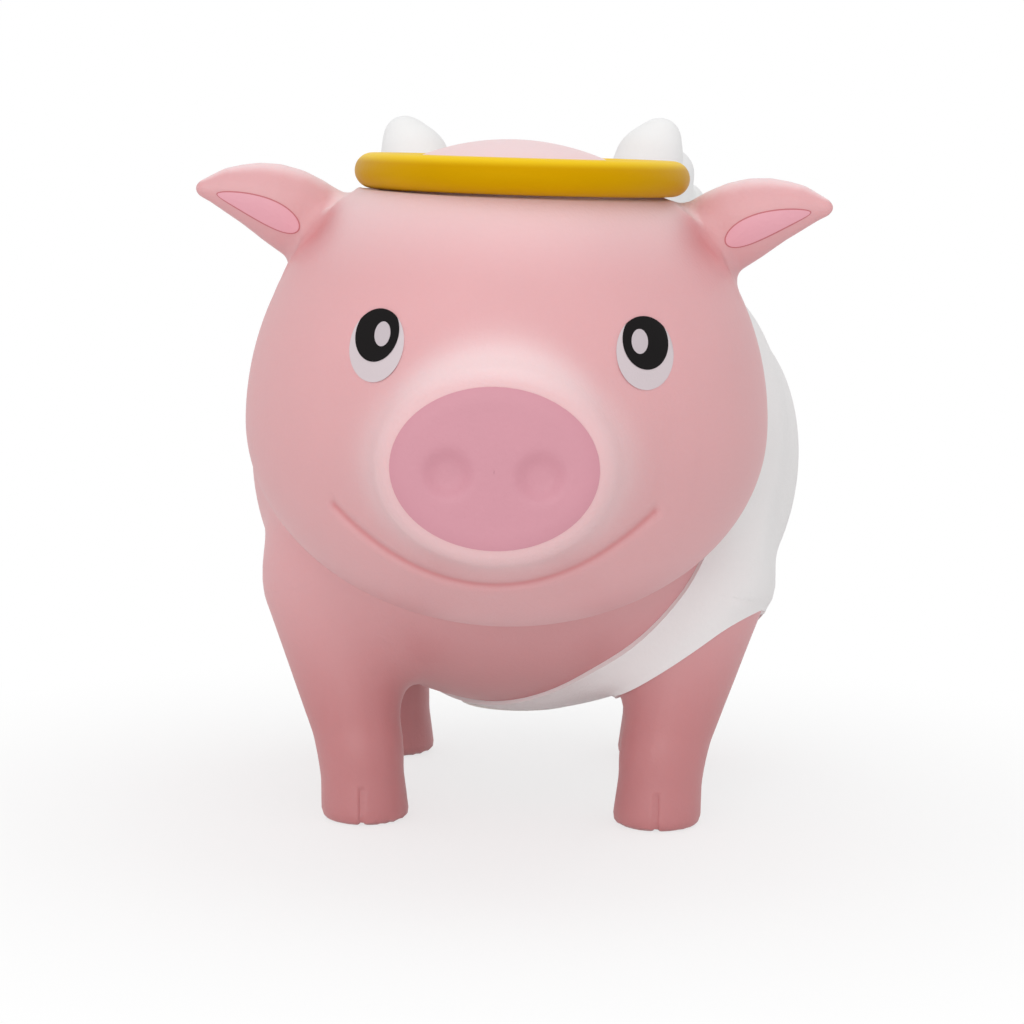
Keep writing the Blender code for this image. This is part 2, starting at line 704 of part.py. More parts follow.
def floor_tool():
    """A slab under the floor, which cuts the soles flat."""
    reach = 3 * BODY_HALF_LENGTH
    bm = bmesh.new()
    bmesh.ops.create_cube(bm, size=2 * reach)
    bm.transform(Matrix.Translation((0, 0, -reach)))
    return from_bmesh("floor", bm)


def make_body():
    pieces = {}
    bm = bmesh.new()
    body_primitives(bm)
    shell = skin("body_shell", bm, BODY_CELL, body)
    combine(shell, floor_tool(), "DIFFERENCE")
    robe = offset_copy(shell, "robe", body, ROBE_GAP + ROBE_THICK)
    robe_inner = offset_copy(shell, "robe_inner", body, ROBE_GAP)
    mid_wall = offset_copy(shell, "mid_wall", body, -VINYL_WALL / 2)
    robe_core = offset_copy(shell, "robe_core", body, ROBE_GAP)
    combine(robe, robe_core, "DIFFERENCE")
    swing = swing_tool(0)
    combine(shell, swing, "DIFFERENCE", keep_tool=True)

    bm = bmesh.new()
    body_primitives(bm)
    hollow = skin("body_hollow", bm, INNER_CELL, body, -VINYL_WALL, INNER_KEEP_SHARE)
    combine(hollow, swing_tool(VINYL_WALL), "DIFFERENCE")
    combine(shell, hollow, "DIFFERENCE")

    dish_y = HEAD_BACK_Y + SWING_GAP
    flange_y = NECK_FACE_Y - GAP
    neck = rod_object("spigot", (0, flange_y - FLANGE_THICK / 2, HEAD_Z),
                      (0, dish_y + NECK_ROOT_LENGTH, HEAD_Z), SPIGOT_R)
    combine(neck, rod_object("flange", (0, flange_y - FLANGE_THICK, HEAD_Z),
                             (0, flange_y, HEAD_Z), FLANGE_R), "UNION")
    combine(shell, neck, "UNION")
    combine(shell, rod_object("neck_way", (0, flange_y - FLANGE_THICK - OVERRUN, HEAD_Z),
                              (0, dish_y + NECK_ROOT_LENGTH + OVERRUN, HEAD_Z), NECK_BORE_R),
            "DIFFERENCE")

    boss_top = STOPPER_SEAT_Z + VINYL_WALL
    combine(shell, rod_object("stopper_boss", (0, STOPPER_Y, STOPPER_SEAT_Z + VINYL_WALL / 2),
                              (0, STOPPER_Y, boss_top), STOPPER_BOSS_R), "UNION")
    combine(shell, rod_object("stopper_seat", (0, STOPPER_Y, 0), (0, STOPPER_Y, STOPPER_SEAT_Z),
                              STOPPER_FLANGE_R + GAP), "DIFFERENCE")
    combine(shell, rod_object("stopper_hole", (0, STOPPER_Y, 0), (0, STOPPER_Y, boss_top + OVERRUN),
                              STOPPER_PLUG_R + GAP), "DIFFERENCE")

    for side, label in ((1, "left"), (-1, "right")):
        foot, root, out = peg_axis(side)
        combine(shell, rod_object("peg_boss", foot - out * VINYL_WALL,
                                  root - out * VINYL_WALL / 2, PEG_BOSS_R, None, 24), "UNION")
        combine(shell, rod_object("peg_hole", foot - out * GAP, root + out * OVERRUN, PEG_R + GAP,
                                  None, 20), "DIFFERENCE")
        bm = bmesh.new()
        for tip, r in wing_lobes():
            place = Vector((WING_X + side * tip.x, tip.y, tip.z))
            add_rod(bm, root, place, WING_ROOT_R, r)
            add_rod(bm, place, place + (place - root).normalized() * r, r, r / 2)
        feather = skin(f"{label}_wing", bm, WING_CELL, lambda p, s=side: wing(p, s))
        wing_way = offset_copy(feather, "wing_way", lambda p, s=side: wing(p, s), GAP)
        combine(feather, robe_inner, "DIFFERENCE", keep_tool=True)
        combine(feather, rod_object("peg", foot, root + out * OVERRUN / 2, PEG_R, None, 20),
                "UNION")
        combine(robe, wing_way, "DIFFERENCE")
        pieces[f"{label}_wing"] = (feather, "wing_white")

    tail_root = rear_y_at(TAIL_Z) - TAIL_PEG_LENGTH
    boss = rod_object("tail_boss", (0, tail_root - VINYL_WALL, TAIL_Z), (0, REAR_Y, TAIL_Z),
                      TAIL_BOSS_R, None, 20)
    combine(boss, mid_wall, "INTERSECT", keep_tool=True)
    combine(shell, boss, "UNION")
    tail_hole = rod_object("tail_hole", (0, tail_root - GAP, TAIL_Z),
                           (0, REAR_Y + OVERRUN, TAIL_Z), TAIL_TUBE_R + GAP, None, 16)
    combine(shell, tail_hole, "DIFFERENCE", keep_tool=True)
    pieces["body_shell"] = (shell, "vinyl_pink")
    pieces["tail"] = (tube("tail", tail_points(tail_root), TAIL_TUBE_R), "vinyl_pink")

    combine(robe, swing, "DIFFERENCE")
    combine(robe, robe_side("neckline", True), "DIFFERENCE")
    combine(robe, tail_hole, "DIFFERENCE")
    combine(robe, rod_object("stopper_way", (0, STOPPER_Y, 0), (0, STOPPER_Y, BODY_Z / 2),
                             STOPPER_FLANGE_R + GAP), "DIFFERENCE")
    for side in (1, -1):
        for y in (FRONT_LEG_Y, REAR_LEG_Y):
            combine(robe, hem_tool(side, y), "DIFFERENCE")
    pieces["robe"] = (robe, "robe_white")
    return pieces


def rear_y_at(z):
    """Where the rear surface is at a height, on the middle line."""
    return BODY_Y + BODY_HALF_LENGTH * math.sqrt(1 - ((z - BODY_Z) / BODY_RISE) ** 2)


def tail_points(root_y):
    """Straight out of the rear, then a curl that winds round the X axis."""
    start = rear_y_at(TAIL_Z) + ROBE_GAP + ROBE_THICK + GAP
    points = [(0, root_y, TAIL_Z), (0, start, TAIL_Z)]
    centre_y = REAR_Y + TAIL_STANDOFF - TAIL_CURL_R
    for k in range(TAIL_POINTS):
        share = k / (TAIL_POINTS - 1)
        a = -math.pi / 2 + 2 * math.pi * TAIL_TURNS * share
        points.append((share * TAIL_CURL_R * 1.4, centre_y + TAIL_CURL_R * math.cos(a),
                       TAIL_Z + TAIL_CURL_R + TAIL_CURL_R * math.sin(a)))
    return points


def make_stopper():
    """A round plug: a flange in the belly's seat, a hollow plug, and a finger dimple."""
    top = STOPPER_SEAT_Z - GAP
    bottom = top - STOPPER_FLANGE_THICK
    plug = rod_object("belly_stopper", (0, STOPPER_Y, bottom), (0, STOPPER_Y, top),
                      STOPPER_FLANGE_R)
    rise = top + STOPPER_PLUG_LENGTH
    combine(plug, rod_object("plug", (0, STOPPER_Y, bottom + STOPPER_FLANGE_THICK / 2),
                             (0, STOPPER_Y, rise), STOPPER_PLUG_R), "UNION")
    combine(plug, rod_object("cup", (0, STOPPER_Y, top), (0, STOPPER_Y, rise + OVERRUN),
                             STOPPER_PLUG_R - STOPPER_PLUG_WALL), "DIFFERENCE")
    combine(plug, rod_object("grip", (0, STOPPER_Y, bottom - OVERRUN),
                             (0, STOPPER_Y, bottom + STOPPER_GRIP_DEPTH), STOPPER_GRIP_R, None, 20),
            "DIFFERENCE")
    return {"belly_stopper": (plug, "stopper_clear")}


# Assembly
def material(name):
    colour, rough = COLOURS[name]
    mat = bpy.data.materials.new(name)
    mat.use_nodes = True
    shader = mat.node_tree.nodes["Principled BSDF"]
    shader.inputs["Base Color"].default_value = (*colour, 1)
    shader.inputs["Roughness"].default_value = rough
    shader.inputs["Metallic"].default_value = 0
    return mat


def pivot(name, place, home):
    empty = bpy.data.objects.new(name, None)
    empty.empty_display_size = HALO_R
    empty.location = place
    home.objects.link(empty)
    return empty


def place_under(obj, parent):
    """Put the object's origin on its parent's axis without moving its mesh."""
    obj.data.transform(Matrix.Translation(-Vector(parent.location)))
    obj.parent = parent


def main():
    for obj in list(bpy.data.objects):
        bpy.data.objects.remove(obj)
    home = bpy.data.collections.new("angel_pig_figure")
    bpy.context.scene.collection.children.link(home)
    groups = (
        (pivot("figure_root", (0, 0, 0), home), make_body()),
        (pivot("neck_pivot", (0, NECK_FACE_Y, HEAD_Z), home), make_head()),
        (pivot("stopper_pivot", (0, STOPPER_Y, STOPPER_SEAT_Z), home), make_stopper()),
    )
    paints = {name: material(name) for name in COLOURS}
    for parent, pieces in groups:
        for name, (obj, colour) in pieces.items():
            obj.name = obj.data.name = name
            bpy.context.scene.collection.objects.unlink(obj)
            home.objects.link(obj)
            obj.data.materials.clear()
            obj.data.materials.append(paints[colour])
            obj.data.shade_smooth()
            obj.data.set_sharp_from_angle(angle=math.radians(35))
            place_under(obj, parent)
            if parent.name == "neck_pivot":
                obj.data.transform(Matrix.Rotation(math.radians(HEAD_REST_DEG), 4, "Y"))
    for obj in list(bpy.data.objects):
        if obj.type == "MESH" and obj.name not in home.objects:
            bpy.data.objects.remove(obj)


main()
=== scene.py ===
"""Looks for the toy pig figure: fine vinyl skins, painted eyes and pads, a draped robe and a halo.

The skins follow the same blends of ellipsoids and tapering rods as the solids, on a finer grid,
with the mouth, the toes and the robe's folds worked into them. Sizes are in metres.
"""
import math
import bmesh
import bpy
import numpy as np
from mathutils import Matrix, Vector


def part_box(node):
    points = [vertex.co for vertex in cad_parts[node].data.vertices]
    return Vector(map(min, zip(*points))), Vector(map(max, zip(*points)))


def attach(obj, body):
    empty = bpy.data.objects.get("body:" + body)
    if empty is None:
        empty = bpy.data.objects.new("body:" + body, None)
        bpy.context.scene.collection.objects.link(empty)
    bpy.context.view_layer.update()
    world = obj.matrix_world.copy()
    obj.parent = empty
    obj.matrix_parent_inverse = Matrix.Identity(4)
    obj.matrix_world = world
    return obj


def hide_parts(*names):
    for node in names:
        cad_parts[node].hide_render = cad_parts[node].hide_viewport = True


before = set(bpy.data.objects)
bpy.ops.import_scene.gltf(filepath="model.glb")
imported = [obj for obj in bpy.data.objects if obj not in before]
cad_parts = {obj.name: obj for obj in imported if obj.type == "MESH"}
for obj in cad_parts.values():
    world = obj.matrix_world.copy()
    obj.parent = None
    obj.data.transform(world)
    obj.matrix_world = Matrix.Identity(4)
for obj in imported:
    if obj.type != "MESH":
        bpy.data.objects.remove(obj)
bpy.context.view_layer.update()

# Skins
PROBE = 0.00002
HEAD_GRID = 0.0010
BODY_GRID = 0.0012
WING_GRID = 0.0008
TOOL_GRID = 0.0030
REFINE_CUTS = 3
HEAD_REFINE_CUTS = 2
SETTLE_ROUNDS = 12
LEAST_SLOPE = 0.2
SWING_GAP = 0.0005
SWIVEL_DEG = 15.0
HEAD_REST_DEG = 1.2
OVERRUN = 0.004

# Meshes of the tools and the paint patches
BALL_SEGMENTS = 32
BALL_RINGS = 20
ROD_SEGMENTS = 24
PATCH_TURNS = 96
PATCH_RINGS = 10
SPARK_RINGS = 5
PAD_RINGS = 40
PATCH_ROUNDS = 80
PATCH_STEP_SHARE = 0.7
TRIM_ROUNDS = 30
HEM_SEGMENTS = 96
HEM_RINGS = 24
SMOOTH_DEG = 40
PATCH_SMOOTH_DEG = 50
TAIL_SMOOTH_DEG = 60

# Head
HEAD_Y = -0.030
HEAD_Z = 0.073
SKULL_Z = 0.0705
HEAD_HALF_WIDTH = 0.0415
HEAD_HALF_DEPTH = 0.039
HEAD_RISE = 0.0447
HEAD_DROP = 0.0325
FACE_DEPTH_SHARE = 0.6
SNOUT_FRONT_Y = -0.075
MUZZLE_X = 0.0008
MUZZLE_LENGTH = 0.030
MUZZLE_Z = 0.0678
MUZZLE_HALF_WIDTH = 0.0173
MUZZLE_HALF_HEIGHT = 0.0142
MUZZLE_ROUND = 0.005
MUZZLE_BLEND = 0.010

# Ears
EAR_LINE = ((0.0315, -0.0270, 0.1005), (0.0337, -0.0275, 0.1019), (0.0359, -0.0280, 0.1032),
            (0.0380, -0.0285, 0.1042), (0.0402, -0.0290, 0.1050), (0.0424, -0.0294, 0.1055),
            (0.0446, -0.0299, 0.1059), (0.0467, -0.0304, 0.1060), (0.0489, -0.0310, 0.1060))
EAR_RADII = (0.0068, 0.0067, 0.0065, 0.0060, 0.0053, 0.0045, 0.0036, 0.0025, 0.0014)
EAR_BLEND = 0.0025
EAR_FRONT_BLEND = 0.0055
EAR_FLAT = 0.62
EAR_DISH_INNER = (0.0318, 0.1010)
EAR_DISH_R = 0.0038
EAR_DISH_DEPTH = 0.0013
EAR_FRONT_START = 0.0040
EAR_FRONT_REACH = 0.0030
LINING_INNER = (0.0338, 0.1001)
LINING_OUTER = (0.0467, 0.1052)
LINING_HALF_WIDTH = 0.0018
LINING_BOW = 0.0006
LINING_TAPER = 0.45
# How far the dark ring of painted shadow reaches beyond each ear's lining
SEAM_SHADOW_WIDTH = 0.00022

# Eyes
EYE_HALF_SPACING = 0.0198
EYE_SHIFT = 0.0020
EYE_Z = 0.0845
EYE_HALF_WIDTH = 0.00415
EYE_HALF_HEIGHT = 0.0054
EYE_LEAN_DEG = 13.4
PUPIL_RISE = 0.0017
PUPIL_HALF_WIDTH = 0.00328
PUPIL_HALF_HEIGHT = 0.0042
PUPIL_LEAN_DEG = 19.0
SPARK_IN = 0.00084
SPARK_RISE = 0.0017
SPARK_HALF_WIDTH = 0.0012
SPARK_HALF_HEIGHT = 0.0018
SPARK_LEAN_DEG = 8.0
PRINT_LIFT = 0.00005
PRINT_DEPTH = 0.0004
PRINT_EDGE_SHARE = 0.12

# Snout pad and mouth
PAD_HALF_WIDTH = 0.0152
PAD_HALF_HEIGHT = 0.0119
PAD_Z = 0.0681
NOSTRIL_HALF_SPACING = 0.0067
NOSTRIL_Z = 0.0672
NOSTRIL_R = 0.0031
NOSTRIL_DEPTH = 0.0010
MOUTH_HALF_WIDTH = 0.0240
MOUTH_LOW_Z = 0.0488
MOUTH_RISE = 0.0115
MOUTH_TILT = 0.018
# Painted shade along the smile and in the ears' hollows
SMILE_SHADE = 0.6
SMILE_SHADE_R = 0.00045
EAR_HOLLOW_SHADE_CENTRE = (0.0325, 0.1000)
EAR_HOLLOW_SHADE_R = 0.0045
EAR_ROOT_SHADE = 0.8
EAR_LINING_SHADE = 0.6
# A painted highlight in a ring round the snout pad
MUZZLE_PAINTED_SHEEN = 0.55
MUZZLE_PAINTED_SHEEN_REACH = 1.12
MUZZLE_PAINTED_SHEEN_FADE = 0.24
MOUTH_DEPTH = 0.0006
MOUTH_R = 0.0009
MOUTH_FINE_TIMES = 4

# Halo
HALO_X = 0.0013
HALO_Y = -0.029
HALO_Z = 0.1097
HALO_R = 0.0237
HALO_TUBE_R = 0.0028
HALO_SEAT_GAP = 0.0004
HALO_FINE_TIMES = 1.6
HALO_RING_POINTS = 160
HALO_TUBE_POINTS = 40

# Body
BODY_Y = 0.018
BODY_Z = 0.060
BODY_HALF_WIDTH = 0.0474
BODY_HALF_LENGTH = 0.048
BODY_RISE = 0.043
BODY_DROP = 0.044
LEG_X = 0.0248
ANKLE_X = 0.0257
LEG_HIP_X = 0.0312
FRONT_LEG_Y = -0.008
REAR_LEG_Y = 0.045
HIP_SET_IN = 0.004
ANKLE_Z = 0.012
HIP_Z = 0.040
FOOT_R = 0.0075
ANKLE_R = 0.0068
HIP_R = 0.0115
KNEE_BLEND = 0.002
LEG_BLEND = 0.008
SOLE_ROUND = 0.002
TOE_R = 0.0004
TOE_DEPTH = 0.0005
TOE_TOP_Z = 0.0062
STOPPER_Y = 0.018
STOPPER_R = 0.0108
STOPPER_SEGMENTS = 64

# Robe
ROBE_LIFT = 0.0012
ROBE_HEM_LIFT = 0.0005
ROBE_NECK_LIFT = 0.0007
NECK_FADE = 0.0040
ROBE_ROOT = 0.0004
NECKLINE_POINT = (0.0229, -0.0164, 0.0340)
NECKLINE_NORMAL = (0.691, 0.569, -0.445)
HEM_R = 0.0140
HEM_X = 0.0298
HEM_Z = 0.0305
HEM_SLOPE = 0.72
HEM_BEND = 34.0
HEM_BEND_START = 0.004
HEM_BACK_FALL = 0.30
HEM_FADE = 0.0040
FOLD_WAVE = 0.0125
FOLD_DEPTH = 0.00035
FOLD_LOW_SHARE = 0.3
FOLD_SWAY = 0.9
FOLD_SWAY_Z = 1.1
FOLD_SWAY_Y = 0.7

# Wings
WING_ROOT = (0.01754, 0.01608, 0.09932)
WING_RUNS = ((0.0052, 0.006, 0.0165), (0.0027, 0.005, 0.0123), (0.0066, 0.017, 0.0100),
             (0.0093, 0.025, 0.0043))
WING_TIPS = tuple(tuple(a + b for a, b in zip(WING_ROOT, run)) for run in WING_RUNS)
WING_ROOT_R = 0.0067
WING_TIP_RS = (0.0032, 0.0056, 0.0046, 0.0041)
WING_BLEND = 0.0035
WING_X = 0.0012

# Tail
TAIL_Z = 0.074
TAIL_TUBE_R = 0.0014
TAIL_CURL_R = 0.0030
TAIL_REACH_Y = 0.0735
TAIL_TURNS = 1.25
TAIL_POINTS = 48
TAIL_DRIFT_SHARE = 1.4
TAIL_ROOT_SHARE = 1.15
TAIL_TAPER_SHARE = 0.45
TAIL_BEVEL_STEPS = 5

# Materials
GRAIN_DEPTH = 0.00012
GLOSS_SPREAD = 0.05
GLOW_REACH = 0.0015
GLOW_REACH_SHARES = (1.0, 0.45, 0.35)
DRIFT_DETAIL = 3.0
GRAIN_DETAIL = 4.0
DRIFT_RANGE = (0.3, 0.7)

# Studio: each lamp has a name, a place, an aim, a size and a power
LAMPS = (("top_softbox", (0.05, -0.15, 0.75), (0, -0.01, 0.06), 0.60, 0.9),
         ("front_softbox", (-0.12, -0.80, 0.24), (0, -0.02, 0.05), 0.60, 1.8))
FLOOR_HALF_SIZE = 2.0
FLOOR_GREY = 0.85
FLOOR_ROUGH = 0.9
FLOOR_OWN_SHARE = 0.30
FLOOR_NEAR = 0.05
FLOOR_FAR = 0.15
AMBIENT = 0.74

# Camera: where it stands, what it looks at, and how far the picture is off level
CAMERA_TURN_DEG = 3.0
CAMERA_DROP_DEG = 7.0
CAMERA_ROLL_DEG = 0.5
CAMERA_DISTANCE = 0.470
CAMERA_TARGET = (-0.0004, -0.005, 0.058)
FOCAL_PIXELS = 2780.0
IMAGE_PIXELS = 1024.0
OPTICAL_ROW = 480.0
SENSOR_MM = 36.0
CLIP_START = 0.01


# Distances
def ellipsoid(p, centre, half_x, half_y, rise, drop):
    q = p - np.array(centre, float)
    radii = np.empty_like(q)
    radii[:, 0] = half_x
    radii[:, 1] = half_y
    radii[:, 2] = np.where(q[:, 2] > 0, rise, drop)
    k0 = np.sqrt(((q / radii) ** 2).sum(axis=1))
    k1 = np.sqrt(((q / radii ** 2) ** 2).sum(axis=1))
    return k0 * (k0 - 1) / np.maximum(k1, 1 / half_x ** 2 * PROBE)


def rod(p, a, b, r_a, r_b):
    a, b = np.array(a, float), np.array(b, float)
    run = b - a
    length = math.sqrt(run @ run)
    along = (p - a) @ run / length
    across = np.sqrt(np.maximum(((p - a) ** 2).sum(axis=1) - along ** 2, 0))
    lean = (r_a - r_b) / length
    t = np.clip((along - across * lean / math.sqrt(1 - lean ** 2)) / length, 0, 1)
    return np.linalg.norm(p - a - t[:, None] * run, axis=1) - (r_a + (r_b - r_a) * t)


def blend(a, b, width):
    h = np.clip(0.5 + 0.5 * (b - a) / width, 0, 1)
    return b * (1 - h) + a * h - width * h * (1 - h)


def common(a, b, width):
    return -blend(-a, -b, width)


def mirrored(p):
    return np.column_stack((np.abs(p[:, 0]), p[:, 1], p[:, 2]))


def muzzle(p):
    q = p - np.array((MUZZLE_X, SNOUT_FRONT_Y + MUZZLE_LENGTH / 2, MUZZLE_Z))
    share = np.sqrt((q[:, 0] / MUZZLE_HALF_WIDTH) ** 2 + (q[:, 2] / MUZZLE_HALF_HEIGHT) ** 2)
    slope = np.sqrt((q[:, 0] / MUZZLE_HALF_WIDTH ** 2) ** 2
                    + (q[:, 2] / MUZZLE_HALF_HEIGHT ** 2) ** 2)
    side = share * (share - 1) / np.maximum(slope, 1 / MUZZLE_HALF_WIDTH ** 2 * PROBE)
    return common(side, np.abs(q[:, 1]) - MUZZLE_LENGTH / 2, MUZZLE_ROUND)


def skull(p):
    return ellipsoid(p, (0, HEAD_Y, SKULL_Z), HEAD_HALF_WIDTH, HEAD_HALF_DEPTH, HEAD_RISE,
                     HEAD_DROP)


def ear(p):
    stretch = np.array((1, 1 / EAR_FLAT, 1))
    q = mirrored(p) * stretch
    line = [np.array(v) * stretch for v in EAR_LINE]
    rods = [rod(q, line[k], line[k + 1], EAR_RADII[k], EAR_RADII[k + 1])
            for k in range(len(line) - 1)]
    return np.min(rods, axis=0) * EAR_FLAT


def before_ear(p):
    """0 behind the ears' middle line, and 1 a little in front of it."""
    line_x, line_y, _ = np.transpose(EAR_LINE)
    ahead = np.interp(np.abs(p[:, 0]), line_x, line_y) - EAR_FRONT_START - p[:, 1]
    return np.clip(ahead / EAR_FRONT_REACH, 0, 1)


def head(p):
    """The skull, muzzle and ears. The ears run into the face more softly than into the crown."""
    width = EAR_BLEND + EAR_FRONT_BLEND * before_ear(p)
    return blend(blend(skull(p), muzzle(p), MUZZLE_BLEND), ear(p), width)


def on_face(p):
    return p[:, 1] < HEAD_Y - FACE_DEPTH_SHARE * HEAD_HALF_DEPTH


def from_ring(p):
    """Distance from the circle in the middle of the halo's tube."""
    out = np.hypot(p[:, 0] - HALO_X, p[:, 1] - HALO_Y) - HALO_R
    return np.hypot(out, p[:, 2] - HALO_Z)


def mouth_z(x):
    return MOUTH_LOW_Z + MOUTH_RISE * (x / MOUTH_HALF_WIDTH) ** 2 + MOUTH_TILT * x


def mouth_offset(p):
    """Distance from the smile's line, seen from the front."""
    x = np.clip(p[:, 0], -MOUTH_HALF_WIDTH, MOUTH_HALF_WIDTH)
    slope = 2 * MOUTH_RISE * x / MOUTH_HALF_WIDTH ** 2 + MOUTH_TILT
    along = np.abs(p[:, 0]) - MOUTH_HALF_WIDTH
    across = (p[:, 2] - mouth_z(x)) / np.sqrt(1 + slope ** 2)
    return np.hypot(across, np.maximum(along, 0))


def lining_offset(q):
    """Distance from the middle line of an ear's lining, seen from the front."""
    start, end = np.array(EAR_DISH_INNER), np.array(LINING_OUTER)
    run = end - start
    t = np.clip(((q[:, ::2] - start) @ run) / (run @ run), 0, 1)
    return np.linalg.norm(q[:, ::2] - start - t[:, None] * run, axis=1)


def face_look(p):
    """The head with nostril dimples in the snout and a shallow dish in each ear."""
    q = mirrored(p)
    away = np.hypot(np.abs(p[:, 0] - MUZZLE_X) - NOSTRIL_HALF_SPACING, p[:, 2] - NOSTRIL_Z)
    snout = p[:, 1] < SNOUT_FRONT_Y + MUZZLE_LENGTH
    dish = np.exp(-(lining_offset(q) / EAR_DISH_R) ** 2)
    return (head(p) + NOSTRIL_DEPTH * snout * np.exp(-(away / NOSTRIL_R) ** 4)
            + EAR_DISH_DEPTH * before_ear(p) * dish)


def painted_crease_shade(p):
    """Painted shade that deepens the face where less light reaches: along the smile's groove, and
    in the hollow of each ear.
    """
    q = mirrored(p)
    smile = SMILE_SHADE * on_face(p) * np.exp(-(mouth_offset(p) / SMILE_SHADE_R) ** 2)
    root = np.hypot(q[:, 0] - EAR_HOLLOW_SHADE_CENTRE[0], q[:, 2] - EAR_HOLLOW_SHADE_CENTRE[1])
    hollow = EAR_ROOT_SHADE * np.exp(-(root / EAR_HOLLOW_SHADE_R) ** 2)
    rim = EAR_LINING_SHADE * np.exp(-(lining_offset(q) / EAR_DISH_R) ** 2)
    return np.maximum(smile, before_ear(p) * np.maximum(hollow, rim))


def painted_snout_sheen(p):
    """A painted highlight, where the face is paler: in a ring round the snout pad."""
    from_pad = np.hypot((p[:, 0] - MUZZLE_X) / PAD_HALF_WIDTH,
                        (p[:, 2] - PAD_Z) / PAD_HALF_HEIGHT)
    ring = np.exp(-((from_pad - MUZZLE_PAINTED_SHEEN_REACH) / MUZZLE_PAINTED_SHEEN_FADE) ** 2)
    return MUZZLE_PAINTED_SHEEN * on_face(p) * ring


def under_paint(p):
    """Shares of how far a place lies inside the pad or an eye, where the skin sinks a little."""
    ovals = [(MUZZLE_X, PAD_Z, PAD_HALF_WIDTH, PAD_HALF_HEIGHT)]
    ovals += [(EYE_SHIFT + side * EYE_HALF_SPACING, EYE_Z, EYE_HALF_WIDTH, EYE_HALF_HEIGHT)
              for side in (1, -1)]
    share = np.zeros(len(p))
    for x, z, half_x, half_z in ovals:
        inside = 1 - np.hypot((p[:, 0] - x) / half_x, (p[:, 2] - z) / half_z)
        share = np.maximum(share, np.clip(inside / PRINT_EDGE_SHARE, 0, 1))
    return share * (p[:, 1] < HEAD_Y)


def head_look(p):
    """The dressed head with its smile pressed in and a soft seat for the halo."""
    d = face_look(p) + PRINT_DEPTH / 2 * under_paint(p)
    d = d + on_face(p) * MOUTH_DEPTH * np.exp(-(mouth_offset(p) / MOUTH_R) ** 2)
    return common(d, HALO_TUBE_R + HALO_SEAT_GAP - from_ring(p), HALO_SEAT_GAP)


def leg(p, y):
    q = mirrored(p)
    hip_y = y + (HIP_SET_IN if y < BODY_Y else -HIP_SET_IN)
    shank = rod(q, (LEG_X, y, 0), (ANKLE_X, y, ANKLE_Z), FOOT_R, ANKLE_R)
    thigh = rod(q, (ANKLE_X, y, ANKLE_Z), (LEG_HIP_X, hip_y, HIP_Z), ANKLE_R, HIP_R)
    return blend(shank, thigh, KNEE_BLEND)


def body(p):
    d = ellipsoid(p, (0, BODY_Y, BODY_Z), BODY_HALF_WIDTH, BODY_HALF_LENGTH, BODY_RISE,
                  BODY_DROP)
    for y in (FRONT_LEG_Y, REAR_LEG_Y):
        d = blend(d, leg(p, y), LEG_BLEND)
    return common(d, -p[:, 2], SOLE_ROUND)


def body_look(p):
    """The body with a cleft down the front of each foot."""
    q = mirrored(p)
    d = body(p)
    for y in (FRONT_LEG_Y, REAR_LEG_Y):
        near = np.hypot(q[:, 0] - LEG_X, np.maximum(q[:, 2] - TOE_TOP_Z, 0))
        front = q[:, 1] < y - ANKLE_R / 2
        close = np.abs(q[:, 1] - y) < 2 * FOOT_R
        d = d + front * close * TOE_DEPTH * np.exp(-(near / TOE_R) ** 2)
    return d


def hem_z(u, v):
    """Height of a hem at u outward and v backward of its leg."""
    rise = u * HEM_SLOPE - HEM_BEND * np.maximum(0, u - HEM_BEND_START) ** 2
    return HEM_Z + rise - HEM_BACK_FALL * np.maximum(0, v)


def neckline_reach(p):
    """Distance from the neckline, on the robe's side."""
    normal = np.array(NECKLINE_NORMAL) / np.linalg.norm(NECKLINE_NORMAL)
    return (p - np.array(NECKLINE_POINT)) @ normal


def hem_reach(p):
    """Distance outside the drums round the legs, where the hem clears them."""
    q = mirrored(p)
    nearest = None
    for y in (FRONT_LEG_Y, REAR_LEG_Y):
        side = np.hypot(q[:, 0] - HEM_X, q[:, 1] - y) - HEM_R
        above = q[:, 2] - hem_z(q[:, 0] - HEM_X, q[:, 1] - y)
        d = np.hypot(np.maximum(side, 0), np.maximum(above, 0))
        nearest = d if nearest is None else np.minimum(nearest, d)
    return nearest


def robe_lift(p):
    """How far the robe stands off the body: less at the neckline, and thin at the hems."""
    share = np.clip(hem_reach(p) / HEM_FADE, 0, 1)
    share = share * share * (3 - 2 * share)
    near = np.clip(neckline_reach(p) / NECK_FADE, 0, 1)
    full = ROBE_NECK_LIFT + (ROBE_LIFT - ROBE_NECK_LIFT) * near
    return ROBE_HEM_LIFT + (full - ROBE_HEM_LIFT) * share


def robe_look(p):
    """The robe's outer face: shallow folds fan out from the neckline."""
    reach = neckline_reach(p)
    fade = np.clip(reach / FOLD_WAVE, 0, 1) * np.clip(p[:, 2] / HIP_Z - FOLD_LOW_SHARE, 0, 1)
    sway = FOLD_SWAY * np.sin(p[:, 2] / FOLD_WAVE * FOLD_SWAY_Z
                              + p[:, 1] / FOLD_WAVE * FOLD_SWAY_Y)
    return (body(p) - robe_lift(p)
            + FOLD_DEPTH * fade * np.sin(2 * math.pi * reach / FOLD_WAVE + sway))


def wing(p, side):
    q = (p - np.array((WING_X, 0, 0))) * np.array((side, 1, 1))
    d = None
    for tip, r in zip(WING_TIPS, WING_TIP_RS):
        lobe = rod(q, WING_ROOT, tip, WING_ROOT_R, r)
        d = lobe if d is None else blend(d, lobe, WING_BLEND)
    return d


